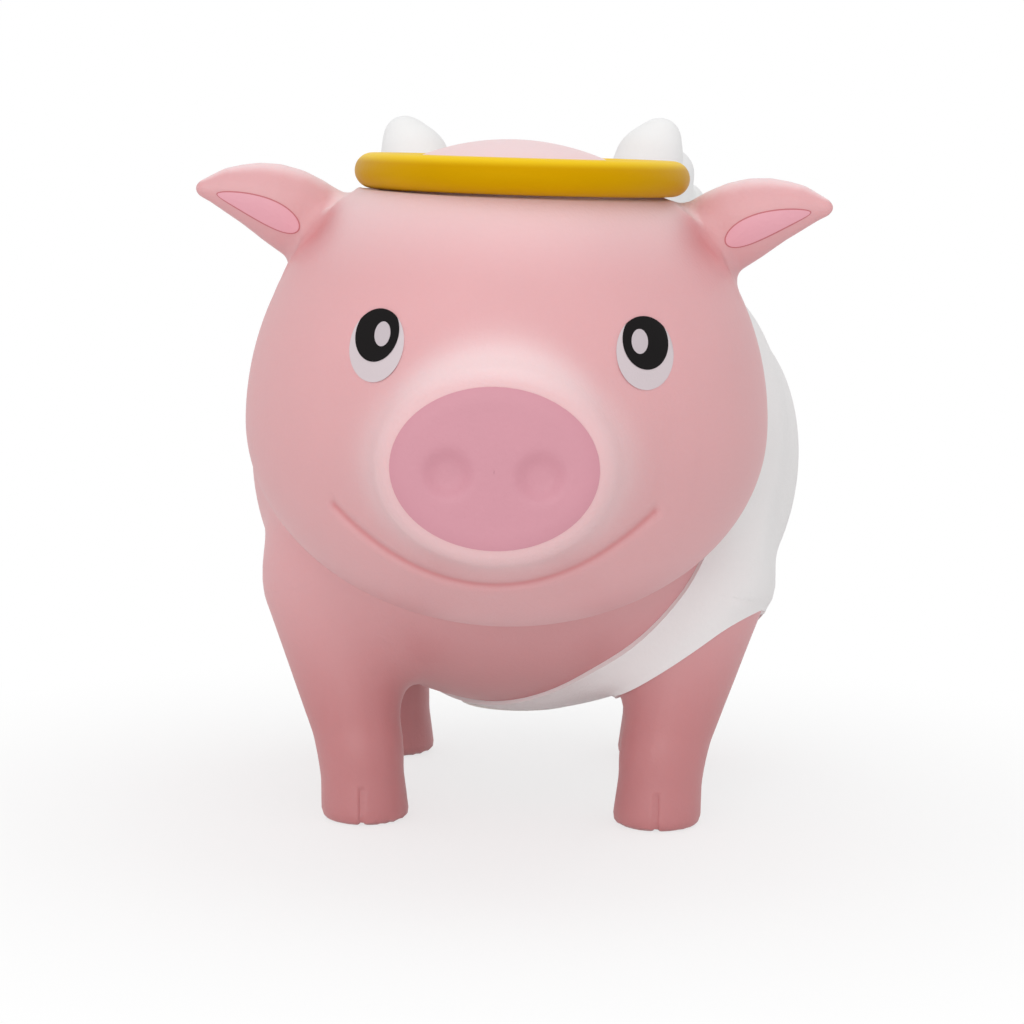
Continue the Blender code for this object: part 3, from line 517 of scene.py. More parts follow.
def head_swing(p):
    d = None
    for turn in (-1, -0.5, 0, 0.5, 1):
        a = math.radians(SWIVEL_DEG * turn)
        q = p.copy()
        q[:, 0] = p[:, 0] * math.cos(a) - (p[:, 2] - HEAD_Z) * math.sin(a)
        q[:, 2] = HEAD_Z + p[:, 0] * math.sin(a) + (p[:, 2] - HEAD_Z) * math.cos(a)
        d = skull(q) if d is None else np.minimum(d, skull(q))
    return d


# Meshes
def from_bmesh(name, bm):
    mesh = bpy.data.meshes.new(name)
    bm.to_mesh(mesh)
    bm.free()
    obj = bpy.data.objects.new(name, mesh)
    bpy.context.scene.collection.objects.link(obj)
    return obj


def add_ball(bm, centre, half_x, half_y, rise, drop):
    made = bmesh.ops.create_uvsphere(bm, u_segments=BALL_SEGMENTS, v_segments=BALL_RINGS,
                                     radius=1.0)
    for v in made["verts"]:
        v.co = Vector(centre) + Vector((v.co.x * half_x, v.co.y * half_y,
                                        v.co.z * (rise if v.co.z > 0 else drop)))


def add_rod(bm, a, b, r_a, r_b, segments=ROD_SEGMENTS):
    a, b = Vector(a), Vector(b)
    turn = (b - a).to_track_quat("Z", "Y").to_matrix().to_4x4()
    place = Matrix.Translation((a + b) / 2) @ turn
    return bmesh.ops.create_cone(bm, cap_ends=True, segments=segments, radius1=r_a, radius2=r_b,
                                 depth=(b - a).length, matrix=place)["verts"]


def baked(obj):
    """Turn an object's modifiers into plain mesh."""
    graph = bpy.context.evaluated_depsgraph_get()
    graph.update()
    mesh = bpy.data.meshes.new_from_object(obj.evaluated_get(graph))
    old = obj.data
    obj.modifiers.clear()
    obj.data = mesh
    bpy.data.meshes.remove(old)
    return obj


def settle(obj, field, level=0.0):
    """Move each vertex along the field's slope until the field is at the level."""
    count = len(obj.data.vertices)
    flat = np.empty(count * 3)
    obj.data.vertices.foreach_get("co", flat)
    p = flat.reshape(-1, 3)
    for _ in range(SETTLE_ROUNDS):
        miss = field(p) - level
        slope = np.empty_like(p)
        for k in range(3):
            step = np.zeros(3)
            step[k] = PROBE
            slope[:, k] = (field(p + step) - field(p - step)) / (2 * PROBE)
        size = np.maximum((slope ** 2).sum(axis=1), LEAST_SLOPE)
        p = p - (miss / size)[:, None] * slope
    obj.data.vertices.foreach_set("co", p.ravel())
    obj.data.update()
    return obj


def skin(name, bm, grid_size, field, level=0.0):
    obj = from_bmesh(name, bm)
    grid = obj.modifiers.new("Skin", "REMESH")
    grid.mode = "VOXEL"
    grid.voxel_size = grid_size
    return settle(baked(obj), field, level)


def refine(obj, wanted, cuts=REFINE_CUTS):
    """Split the edges whose middles are wanted, so that fine detail has vertices to stand on."""
    bm = bmesh.new()
    bm.from_mesh(obj.data)
    middles = np.array([((e.verts[0].co + e.verts[1].co) / 2)[:] for e in bm.edges])
    keep = wanted(middles)
    edges = [e for e, k in zip(bm.edges, keep) if k]
    bmesh.ops.subdivide_edges(bm, edges=edges, cuts=cuts, use_grid_fill=True)
    bmesh.ops.triangulate(bm, faces=[f for f in bm.faces if len(f.verts) > 4])
    bm.to_mesh(obj.data)
    bm.free()
    return obj


def cut(obj, tool, keep_tool=False):
    change = obj.modifiers.new("Cut", "BOOLEAN")
    change.operation = "DIFFERENCE"
    change.solver = "MANIFOLD"
    change.object = tool
    baked(obj)
    if not keep_tool:
        bpy.data.objects.remove(tool)
    return obj


def smooth(obj, angle_deg=SMOOTH_DEG):
    obj.data.shade_smooth()
    obj.data.set_sharp_from_angle(angle=math.radians(angle_deg))
    return obj


def dress(obj, paint, body_name, slot, *nodes):
    """Give a piece its paint, its body and the nodes it stands for.

    The head's pieces are turned with it, because it rests a little off straight.
    """
    obj.data.materials.clear()
    obj.data.materials.append(paint)
    if body_name == "head":
        middle = Matrix.Translation((0, 0, HEAD_Z))
        obj.data.transform(middle @ Matrix.Rotation(math.radians(HEAD_REST_DEG), 4, "Y")
                           @ middle.inverted())
    if nodes:
        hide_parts(*nodes)
    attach(obj, body_name)
    return obj


def face_patch(name, outline, field=head, rings=PATCH_RINGS, lift=PRINT_LIFT):
    """A thin closed patch of paint on the head, inside an outline drawn from the front.

    The outline gives x and z for a turn from 0 to 1. Rings of points run from the middle out,
    and each settles on the head's own surface.
    """
    xs, zs = outline(np.arange(PATCH_TURNS) / PATCH_TURNS)
    mid_x, mid_z = xs.mean(), zs.mean()
    bm = bmesh.new()
    layers = []
    for level in (lift, -PRINT_DEPTH):
        layer = [[bm.verts.new((mid_x, 0, mid_z))]]
        for k in range(1, rings + 1):
            share = k / rings
            layer.append([bm.verts.new((mid_x + (x - mid_x) * share, 0,
                                        mid_z + (z - mid_z) * share)) for x, z in zip(xs, zs)])
        flat = [v for ring in layer for v in ring]
        x = np.array([v.co.x for v in flat])
        z = np.array([v.co.z for v in flat])
        y = np.full(len(flat), SNOUT_FRONT_Y - OVERRUN)
        for _ in range(PATCH_ROUNDS):
            y = y + PATCH_STEP_SHARE * (field(np.column_stack((x, y, z))) - level)
        for v, place in zip(flat, y):
            v.co.y = place
        layers.append(layer)
    for layer, out in zip(layers, (1, -1)):
        for k in range(PATCH_TURNS):
            n = (k + 1) % PATCH_TURNS
            fan = [layer[0][0], layer[1][k], layer[1][n]]
            bm.faces.new(fan[::out])
            for r in range(1, rings):
                quad = [layer[r][k], layer[r + 1][k], layer[r + 1][n], layer[r][n]]
                bm.faces.new(quad[::out])
    top, bottom = layers[0][rings], layers[1][rings]
    for k in range(PATCH_TURNS):
        n = (k + 1) % PATCH_TURNS
        bm.faces.new([top[k], bottom[k], bottom[n], top[n]])
    bmesh.ops.recalc_face_normals(bm, faces=bm.faces)
    return smooth(from_bmesh(name, bm), PATCH_SMOOTH_DEG)


def oval(x, z, half_x, half_z, lean_deg=0.0):
    lean = math.radians(lean_deg)

    def outline(turn):
        u = half_x * np.cos(2 * math.pi * turn)
        w = half_z * np.sin(2 * math.pi * turn)
        return (x + u * math.cos(lean) + w * math.sin(lean),
                z - u * math.sin(lean) + w * math.cos(lean))
    return outline


def trimmed(inner, outer_x, outer_z, half_x, half_z, lean_deg):
    """An outline drawn back to stay inside an oval."""
    lean = math.radians(lean_deg)

    def outline(turn):
        x, z = inner(turn)
        mid_x, mid_z = x.mean(), z.mean()
        low, high = np.zeros(len(x)), np.ones(len(x))
        for _ in range(TRIM_ROUNDS):
            share = (low + high) / 2
            dx = mid_x + (x - mid_x) * share - outer_x
            dz = mid_z + (z - mid_z) * share - outer_z
            u = dx * math.cos(lean) - dz * math.sin(lean)
            w = dx * math.sin(lean) + dz * math.cos(lean)
            inside = (u / half_x) ** 2 + (w / half_z) ** 2 < 1
            low, high = np.where(inside, share, low), np.where(inside, high, share)
        return mid_x + (x - mid_x) * low, mid_z + (z - mid_z) * low
    return outline


def almond(side, grown=0.0):
    """An ear's lining: round at the head and drawn out to the ear's tip."""
    inner, outer = Vector(LINING_INNER), Vector(LINING_OUTER)
    along = (outer - inner).normalized()
    half = (outer - inner).length / 2 + grown
    middle = (inner + outer) / 2

    def outline(turn):
        c, s = np.cos(2 * math.pi * turn), np.sin(2 * math.pi * turn)
        u = c * half
        w = s * (LINING_HALF_WIDTH * (1 - LINING_TAPER * c) + grown) + LINING_BOW * s ** 2
        return side * (middle.x + along.x * u - along.y * w), middle.y + along.y * u + along.x * w
    return outline


# Materials
def linear(r, g, b):
    """The shader's colour for a colour as a screen shows it."""
    return tuple((c / 255 / 12.92) if c <= 10 else ((c / 255 + 0.055) / 1.055) ** 2.4
                 for c in (r, g, b))


def shade(name, colour, rough, mottle, mottle_scale, grain, grain_scale, glow=0.0,
          gloss_level=0.5, gloss_tint=(1, 1, 1), painted_top_light=None, painted_low_shade=None):
    """A moulded or painted plastic: a slow drift of colour and gloss, and a fine grain.

    A skin given a pale and a deep colour carries painted light: it runs paler where it faces up,
    a painted highlight from above, and deeper pink near the feet, painted shade. Two attributes
    add a painted highlight round the snout pad and painted shade along the smile and in the ears'
    hollows.
    """
    mat = bpy.data.materials.new(name)
    mat.use_nodes = True
    tree = mat.node_tree
    shader = tree.nodes["Principled BSDF"]
    where = tree.nodes.new("ShaderNodeTexCoord")
    drift = tree.nodes.new("ShaderNodeTexNoise")
    drift.inputs["Scale"].default_value = mottle_scale
    drift.inputs["Detail"].default_value = DRIFT_DETAIL
    ramp = tree.nodes.new("ShaderNodeValToRGB")
    low = [max(0.0, c * (1 - mottle)) for c in colour]
    high = [min(1.0, c * (1 + mottle)) for c in colour]
    for stop, position, tint in zip(ramp.color_ramp.elements, DRIFT_RANGE, (low, high)):
        stop.position = position
        stop.color = (*tint, 1)
    fine = tree.nodes.new("ShaderNodeTexNoise")
    fine.inputs["Scale"].default_value = grain_scale
    fine.inputs["Detail"].default_value = GRAIN_DETAIL
    bump = tree.nodes.new("ShaderNodeBump")
    bump.inputs["Strength"].default_value = grain
    bump.inputs["Distance"].default_value = GRAIN_DEPTH
    gloss = tree.nodes.new("ShaderNodeMapRange")
    gloss.inputs["To Min"].default_value = rough - GLOSS_SPREAD
    gloss.inputs["To Max"].default_value = rough + GLOSS_SPREAD
    for texture in (drift, fine):
        tree.links.new(where.outputs["Object"], texture.inputs["Vector"])
    tree.links.new(drift.outputs["Fac"], ramp.inputs["Fac"])
    tree.links.new(fine.outputs["Fac"], bump.inputs["Height"])
    tree.links.new(drift.outputs["Fac"], gloss.inputs["Value"])
    paint = ramp.outputs["Color"]
    # Painted light: a paler colour where the skin faces up (painted highlight), a deeper one near
    # the feet (painted shade)
    if painted_top_light and painted_low_shade:
        surface = tree.nodes.new("ShaderNodeNewGeometry")
        for facing, tint, start, end in ((surface.outputs["Normal"], painted_top_light, *TOP_LIGHT_FACING),
                                         (where.outputs["Object"], painted_low_shade, *LOW_SHADE_HEIGHTS)):
            split = tree.nodes.new("ShaderNodeSeparateXYZ")
            share = tree.nodes.new("ShaderNodeMapRange")
            share.interpolation_type = "SMOOTHSTEP"
            share.inputs["From Min"].default_value = start
            share.inputs["From Max"].default_value = end
            blended = tree.nodes.new("ShaderNodeMix")
            blended.data_type = "RGBA"
            blended.inputs["B"].default_value = (*tint, 1)
            tree.links.new(facing, split.inputs["Vector"])
            tree.links.new(split.outputs["Z"], share.inputs["Value"])
            tree.links.new(share.outputs["Result"], blended.inputs["Factor"])
            tree.links.new(paint, blended.inputs["A"])
            paint = blended.outputs["Result"]
        # Painted light from the skin's attributes: a painted highlight round the snout pad and
        # painted shade in the creases
        for label, tint in (("painted_snout_sheen", painted_top_light), ("painted_crease_shade", CREASE_SHADE_COLOUR)):
            tone = tree.nodes.new("ShaderNodeAttribute")
            tone.attribute_name = label
            toned = tree.nodes.new("ShaderNodeMix")
            toned.data_type = "RGBA"
            toned.inputs["B"].default_value = (*tint, 1)
            tree.links.new(tone.outputs["Fac"], toned.inputs["Factor"])
            tree.links.new(paint, toned.inputs["A"])
            paint = toned.outputs["Result"]
    tree.links.new(paint, shader.inputs["Base Color"])
    tree.links.new(gloss.outputs["Result"], shader.inputs["Roughness"])
    tree.links.new(bump.outputs["Normal"], shader.inputs["Normal"])
    shader.inputs["Specular IOR Level"].default_value = gloss_level
    shader.inputs["Specular Tint"].default_value = (*gloss_tint, 1)
    shader.inputs["Subsurface Weight"].default_value = glow
    shader.inputs["Subsurface Radius"].default_value = GLOW_REACH_SHARES
    shader.inputs["Subsurface Scale"].default_value = GLOW_REACH
    return mat


PINK = linear(218, 162, 165)
# Colour of the painted shade in the smile and the ears' hollows
CREASE_SHADE_COLOUR = linear(205, 112, 114)
# Upward facings over which the painted highlight from above comes in
TOP_LIGHT_FACING = (0.45, 0.95)
# Heights over which the painted shade near the feet comes in
LOW_SHADE_HEIGHTS = (0.045, 0.015)
YELLOW = linear(199, 148, 0)
PAINTS = {
    # The skin's pale colour is a painted highlight where it faces up, and its deep colour painted
    # shade near the feet
    "vinyl": shade("pink_vinyl", PINK, 0.48, 0.02, 45, 0.5, 1500, glow=0.12,
                   gloss_level=0.75, painted_top_light=linear(236, 206, 208), painted_low_shade=linear(196, 127, 129)),
    "pad": shade("rose_pad_paint", linear(204, 142, 155), 0.50, 0.02, 80, 0.5, 1500),
    "lining": shade("ear_lining_paint", linear(226, 164, 176), 0.48, 0.02, 80, 0.4, 1500),
    # A darker pink ring under each ear's lining: a painted shadow of the groove round it
    "seam_shadow": shade("ear_seam_shade", linear(196, 116, 122), 0.60, 0.02, 80, 0.4, 1500),
    # The halo's pale colour is a painted highlight along its top; its deep colour is its own yellow
    "halo": shade("yellow_halo_vinyl", YELLOW, 0.45, 0.03, 70, 0.3, 900,
                  gloss_level=0.12, gloss_tint=(1.0, 0.88, 0.10), painted_top_light=linear(240, 200, 24),
                  painted_low_shade=YELLOW),
    "wing": shade("white_wing_vinyl", linear(238, 238, 238), 0.55, 0.01, 60, 0.5, 1500,
                  gloss_level=0.35),
    "robe": shade("white_robe_paint", linear(236, 234, 234), 0.60, 0.015, 50, 0.8, 1200,
                  gloss_level=0.35),
    "white": shade("eye_white_ink", linear(205, 192, 196), 0.45, 0.01, 200, 0.2, 2500),
    "black": shade("eye_black_ink", linear(16, 13, 14), 0.50, 0.10, 300, 0.2, 2500,
                   gloss_level=0.12),
    "spark": shade("eye_highlight_ink", linear(191, 180, 185), 0.45, 0.01, 200, 0.2, 2500),
    "plug": shade("stopper_vinyl", linear(226, 222, 216), 0.45, 0.02, 120, 0.5, 1500),
}


# Pieces
def swing_tool():
    bm = bmesh.new()
    for turn in (-1, 0, 1):
        part = bmesh.new()
        add_ball(part, (0, 0, SKULL_Z - HEAD_Z), HEAD_HALF_WIDTH, HEAD_HALF_DEPTH, HEAD_RISE,
                 HEAD_DROP)
        spin = Matrix.Rotation(math.radians(SWIVEL_DEG * turn), 4, "Y")
        part.transform(Matrix.Translation((0, HEAD_Y, HEAD_Z)) @ spin)
        mesh = bpy.data.meshes.new("turn")
        part.to_mesh(mesh)
        part.free()
        bm.from_mesh(mesh)
        bpy.data.meshes.remove(mesh)
    return skin("head_swing", bm, TOOL_GRID, head_swing, SWING_GAP)


def fine_places(p):
    """Round the mouth, under the halo and at the ears' ends."""
    mouth = (mouth_offset(p) < MOUTH_FINE_TIMES * MOUTH_R) & on_face(p)
    ear_end = np.abs(p[:, 0]) > EAR_LINE[2][0]
    return mouth | (from_ring(p) < HALO_FINE_TIMES * HALO_TUBE_R) | ear_end


def make_head():
    bm = bmesh.new()
    add_ball(bm, (0, HEAD_Y, SKULL_Z), HEAD_HALF_WIDTH, HEAD_HALF_DEPTH, HEAD_RISE, HEAD_DROP)
    for v in add_rod(bm, (0, SNOUT_FRONT_Y, 0), (0, SNOUT_FRONT_Y + MUZZLE_LENGTH, 0), 1.0, 1.0):
        v.co = Vector((MUZZLE_X + v.co.x * MUZZLE_HALF_WIDTH, v.co.y,
                       MUZZLE_Z + v.co.z * MUZZLE_HALF_HEIGHT))
    for side in (1, -1):
        places = [Vector((side * v[0], v[1], v[2])) for v in EAR_LINE]
        inner = places[0] + (places[0] - places[1])
        end = places[-1] + (places[-1] - places[-2]).normalized() * EAR_RADII[-1]
        chain = [inner] + places + [end]
        radii = (EAR_RADII[0],) + EAR_RADII + (EAR_RADII[-1] / 2,)
        for k in range(len(chain) - 1):
            run = chain[k + 1] - chain[k]
            for v in add_rod(bm, chain[k], chain[k + 1], radii[k], radii[k + 1]):
                line_y = chain[k].y + run.y * (v.co - chain[k]).dot(run) / run.dot(run)
                v.co.y = line_y + (v.co.y - line_y) * EAR_FLAT
    skull_skin = skin("pig_head", bm, HEAD_GRID, head)
    refine(skull_skin, fine_places, HEAD_REFINE_CUTS)
    settle(skull_skin, head_look)
    points = np.empty(3 * len(skull_skin.data.vertices))
    skull_skin.data.vertices.foreach_get("co", points)
    # Painted light kept on the skin: a painted highlight round the snout pad, painted shade along
    # the smile and in the ears' hollows
    for label, share in (("painted_snout_sheen", painted_snout_sheen), ("painted_crease_shade", painted_crease_shade)):
        tone = skull_skin.data.attributes.new(label, "FLOAT", "POINT")
        tone.data.foreach_set("value", share(points.reshape(-1, 3)))
    skull_skin.data.shade_smooth()
    dress(skull_skin, PAINTS["vinyl"], "head", "vinyl_pink", "head_shell")


def make_face():
    for side, label in ((1, "left"), (-1, "right")):
        x = EYE_SHIFT + side * EYE_HALF_SPACING
        lean = -side * EYE_LEAN_DEG
        ground = oval(x, EYE_Z, EYE_HALF_WIDTH, EYE_HALF_HEIGHT, lean)
        white = face_patch(f"{label}_eye_ground", ground)
        dress(white, PAINTS["white"], "head", "eye_white", f"{label}_eye_white")
        iris = oval(x, EYE_Z + PUPIL_RISE, PUPIL_HALF_WIDTH, PUPIL_HALF_HEIGHT,
                    -side * PUPIL_LEAN_DEG)
        black = trimmed(iris, x, EYE_Z, EYE_HALF_WIDTH, EYE_HALF_HEIGHT, lean)
        pupil = face_patch(f"{label}_eye_black", black, lift=2 * PRINT_LIFT)
        dress(pupil, PAINTS["black"], "head", "eye_black", f"{label}_pupil")
        gleam = oval(x - side * SPARK_IN, EYE_Z + SPARK_RISE, SPARK_HALF_WIDTH,
                     SPARK_HALF_HEIGHT, -side * SPARK_LEAN_DEG)
        spark = face_patch(f"{label}_eye_spark", gleam, rings=SPARK_RINGS, lift=3 * PRINT_LIFT)
        dress(spark, PAINTS["spark"], "head", "eye_white", f"{label}_eye_highlight")
        lining = face_patch(f"{label}_ear_pad", almond(side), face_look, lift=3 * PRINT_LIFT)
        dress(lining, PAINTS["lining"], "head", "pad_pink", f"{label}_ear_lining")
        # A darker ring under the lining: a painted shadow of the groove round it
        seam_shadow = face_patch(f"{label}_ear_seam_shadow", almond(side, SEAM_SHADOW_WIDTH), face_look)
        dress(seam_shadow, PAINTS["seam_shadow"], "head", "vinyl_pink")
    front = oval(MUZZLE_X, PAD_Z, PAD_HALF_WIDTH, PAD_HALF_HEIGHT)
    pad = face_patch("snout_paint", front, face_look, PAD_RINGS)
    dress(pad, PAINTS["pad"], "head", "pad_pink", "snout_pad")


def halo_tree():
    """Geometry nodes: a ring of tube, from its radius and its tube's radius."""
    tree = bpy.data.node_groups.new("halo_ring", "GeometryNodeTree")
    tree.interface.new_socket("Geometry", in_out="OUTPUT", socket_type="NodeSocketGeometry")
    for label, value in (("Ring Radius", HALO_R), ("Tube Radius", HALO_TUBE_R)):
        socket = tree.interface.new_socket(label, in_out="INPUT", socket_type="NodeSocketFloat")
        socket.default_value = value
    for label, value in (("Ring Points", HALO_RING_POINTS), ("Tube Points", HALO_TUBE_POINTS)):
        socket = tree.interface.new_socket(label, in_out="INPUT", socket_type="NodeSocketInt")
        socket.default_value = value
    socket = tree.interface.new_socket("Paint", in_out="INPUT", socket_type="NodeSocketMaterial")
    given = tree.nodes.new("NodeGroupInput")
    result = tree.nodes.new("NodeGroupOutput")
    ring = tree.nodes.new("GeometryNodeCurvePrimitiveCircle")
    tube = tree.nodes.new("GeometryNodeCurvePrimitiveCircle")
    sweep = tree.nodes.new("GeometryNodeCurveToMesh")
    whole = tree.nodes.new("GeometryNodeRealizeInstances")
    paint = tree.nodes.new("GeometryNodeSetMaterial")
    links = (
        (given.outputs["Ring Radius"], ring.inputs["Radius"]),
        (given.outputs["Ring Points"], ring.inputs["Resolution"]),
        (given.outputs["Tube Radius"], tube.inputs["Radius"]),
        (given.outputs["Tube Points"], tube.inputs["Resolution"]),
        (ring.outputs["Curve"], sweep.inputs["Curve"]),
        (tube.outputs["Curve"], sweep.inputs["Profile Curve"]),
        (sweep.outputs["Mesh"], whole.inputs["Geometry"]),
        (whole.outputs["Geometry"], paint.inputs["Geometry"]),
        (given.outputs["Paint"], paint.inputs["Material"]),
        (paint.outputs["Geometry"], result.inputs["Geometry"]),
    )
    for start, end in links:
        tree.links.new(start, end)
    return tree


def make_halo():
    obj = from_bmesh("halo_gloss", bmesh.new())
    grow = obj.modifiers.new("Halo", "NODES")
    grow.node_group = halo_tree()
    sockets = {s.name: s.identifier for s in grow.node_group.interface.items_tree
               if s.in_out == "INPUT"}
    grow[sockets["Ring Radius"]] = HALO_R
    grow[sockets["Tube Radius"]] = HALO_TUBE_R
    grow[sockets["Paint"]] = PAINTS["halo"]
    baked(obj)
    bm = bmesh.new()
    bm.from_mesh(obj.data)
    bmesh.ops.recalc_face_normals(bm, faces=bm.faces)
    bm.transform(Matrix.Translation((HALO_X, HALO_Y, HALO_Z)))
    bm.to_mesh(obj.data)
    bm.free()
    obj.data.shade_smooth()
    dress(obj, PAINTS["halo"], "head", "halo_yellow", "halo_ring")


def body_primitives(bm):
    add_ball(bm, (0, BODY_Y, BODY_Z), BODY_HALF_WIDTH, BODY_HALF_LENGTH, BODY_RISE, BODY_DROP)
    for y in (FRONT_LEG_Y, REAR_LEG_Y):
        hip_y = y + (HIP_SET_IN if y < BODY_Y else -HIP_SET_IN)
        for side in (1, -1):
            foot = (side * LEG_X, y, 0)
            ankle = (side * ANKLE_X, y, ANKLE_Z)
            hip = (side * LEG_HIP_X, hip_y, HIP_Z)
            add_rod(bm, foot, ankle, FOOT_R, ANKLE_R)
            add_rod(bm, ankle, hip, ANKLE_R, HIP_R)


def stopper_way(top_z):
    bm = bmesh.new()
    add_rod(bm, (0, STOPPER_Y, 0), (0, STOPPER_Y, top_z), STOPPER_R, STOPPER_R,
            STOPPER_SEGMENTS)
    return from_bmesh("stopper_way", bm)


def hem_tool(side, y):
    """A drum round one leg. Its top climbs outward, bends over, and falls to the back."""
    bm = bmesh.new()
    centre = bm.verts.new((side * HEM_X, y, HEM_Z))
    layers = []
    for ring in range(1, HEM_RINGS + 1):
        layer = []
        for k in range(HEM_SEGMENTS):
            a = 2 * math.pi * k / HEM_SEGMENTS
            u, v = HEM_R * ring / HEM_RINGS * math.cos(a), HEM_R * ring / HEM_RINGS * math.sin(a)
            layer.append(bm.verts.new((side * (HEM_X + u), y + v, hem_z(u, v))))
        layers.append(layer)
    layers.append([bm.verts.new((v.co.x, v.co.y, -OVERRUN)) for v in layers[-1]])
    for k in range(HEM_SEGMENTS):
        n = (k + 1) % HEM_SEGMENTS
        bm.faces.new((centre, layers[0][k], layers[0][n]))
        for inner, outer in zip(layers, layers[1:]):
            bm.faces.new((inner[k], outer[k], outer[n], inner[n]))
    bm.faces.new(layers[-1])
    bmesh.ops.recalc_face_normals(bm, faces=bm.faces)
    return from_bmesh("hem", bm)


def half_space():
    """A box that covers the bare side of the neckline."""
    reach = BODY_HALF_LENGTH * 3
    normal = -Vector(NECKLINE_NORMAL).normalized()
    bm = bmesh.new()
    bmesh.ops.create_cube(bm, size=2 * reach)
    bm.transform(Matrix.Translation(Vector(NECKLINE_POINT) + normal * reach)
                 @ normal.to_track_quat("Z", "Y").to_matrix().to_4x4())
    return from_bmesh("bare_side", bm)


def make_body():
    bm = bmesh.new()
    body_primitives(bm)
    trunk = skin("pig_body", bm, BODY_GRID, body)
    robe = from_bmesh("draped_robe", bmesh.new())
    robe.data = trunk.data.copy()
    refine(trunk, lambda p: (np.abs(np.abs(p[:, 0]) - LEG_X) < 3 * TOE_R)
           & (p[:, 2] < TOE_TOP_Z + TOE_R * 3))
    settle(trunk, body_look)
    swing = swing_tool()
    cut(trunk, swing, keep_tool=True)
    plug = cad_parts["belly_stopper"]
    cut(trunk, stopper_way(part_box("belly_stopper")[1][2] + PRINT_DEPTH))
    smooth(trunk)
    dress(trunk, PAINTS["vinyl"], "body", "vinyl_pink", "body_shell")

    lining = from_bmesh("robe_lining", bmesh.new())
    lining.data = robe.data.copy()
    settle(robe, robe_look)
    settle(lining, body, -ROBE_ROOT)
    cut(robe, lining)
    cut(robe, swing)
    cut(robe, half_space())
    cut(robe, stopper_way(BODY_Z / 2))
    for side in (1, -1):
        for y in (FRONT_LEG_Y, REAR_LEG_Y):
            cut(robe, hem_tool(side, y))
    smooth(robe)
    dress(robe, PAINTS["robe"], "body", "robe_white", "robe")
    plug.data.materials.clear()
    plug.data.materials.append(PAINTS["plug"])


def make_wings():
    for side, label in ((1, "left"), (-1, "right")):
        root = Vector((WING_X + side * WING_ROOT[0], WING_ROOT[1], WING_ROOT[2]))
        bm = bmesh.new()
        for tip, r in zip(WING_TIPS, WING_TIP_RS):
            place = Vector((WING_X + side * tip[0], tip[1], tip[2]))
            add_rod(bm, root, place, WING_ROOT_R, r)
            add_rod(bm, place, place + (place - root).normalized() * r, r, r / 2)
        feather = skin(f"{label}_wing_skin", bm, WING_GRID, lambda p, s=side: wing(p, s))
        feather.data.shade_smooth()
        dress(feather, PAINTS["wing"], "body", "wing_white", f"{label}_wing")


def make_tail():
    start = BODY_Y + BODY_HALF_LENGTH * math.sqrt(1 - ((TAIL_Z - BODY_Z) / BODY_RISE) ** 2)
    data = bpy.data.curves.new("tail_curl", "CURVE")
    data.dimensions = "3D"
    data.bevel_depth = TAIL_TUBE_R
    data.bevel_resolution = TAIL_BEVEL_STEPS
    data.use_fill_caps = True
    points = [(0, start - OVERRUN / 2, TAIL_Z), (0, start + ROBE_LIFT, TAIL_Z)]
    for k in range(TAIL_POINTS):
        share = k / (TAIL_POINTS - 1)
        a = -math.pi / 2 + 2 * math.pi * TAIL_TURNS * share
        points.append((share * TAIL_CURL_R * TAIL_DRIFT_SHARE,
                       TAIL_REACH_Y - TAIL_CURL_R + TAIL_CURL_R * math.cos(a),
                       TAIL_Z + TAIL_CURL_R + TAIL_CURL_R * math.sin(a)))
    line = data.splines.new("POLY")
    line.points.add(len(points) - 1)
    for k, (node, place) in enumerate(zip(line.points, points)):
        node.co = (*place, 1)
        node.radius = TAIL_ROOT_SHARE - TAIL_TAPER_SHARE * k / (len(points) - 1)
    curve = bpy.data.objects.new("tail_line", data)
    bpy.context.scene.collection.objects.link(curve)
    graph = bpy.context.evaluated_depsgraph_get()
    mesh = bpy.data.meshes.new_from_object(curve.evaluated_get(graph))
    bm = bmesh.new()
    bm.from_mesh(mesh)
    bmesh.ops.remove_doubles(bm, verts=bm.verts, dist=PROBE)
    bmesh.ops.recalc_face_normals(bm, faces=bm.faces)
    bpy.data.objects.remove(curve)
    tail = from_bmesh("tail_curl", bm)
    smooth(tail, TAIL_SMOOTH_DEG)
    dress(tail, PAINTS["vinyl"], "body", "vinyl_pink", "tail")


# Studio
def white_rays(tree, path):
    """1 for the rays that see the backdrop as plain white: camera, glossy and transmission."""
    found = path.outputs["Is Camera Ray"]
    for kind in ("Is Glossy Ray", "Is Transmission Ray"):
        either = tree.nodes.new("ShaderNodeMath")
        either.operation = "MAXIMUM"
        tree.links.new(found, either.inputs[0])
        tree.links.new(path.outputs[kind], either.inputs[1])
        found = either.outputs["Value"]
    return found


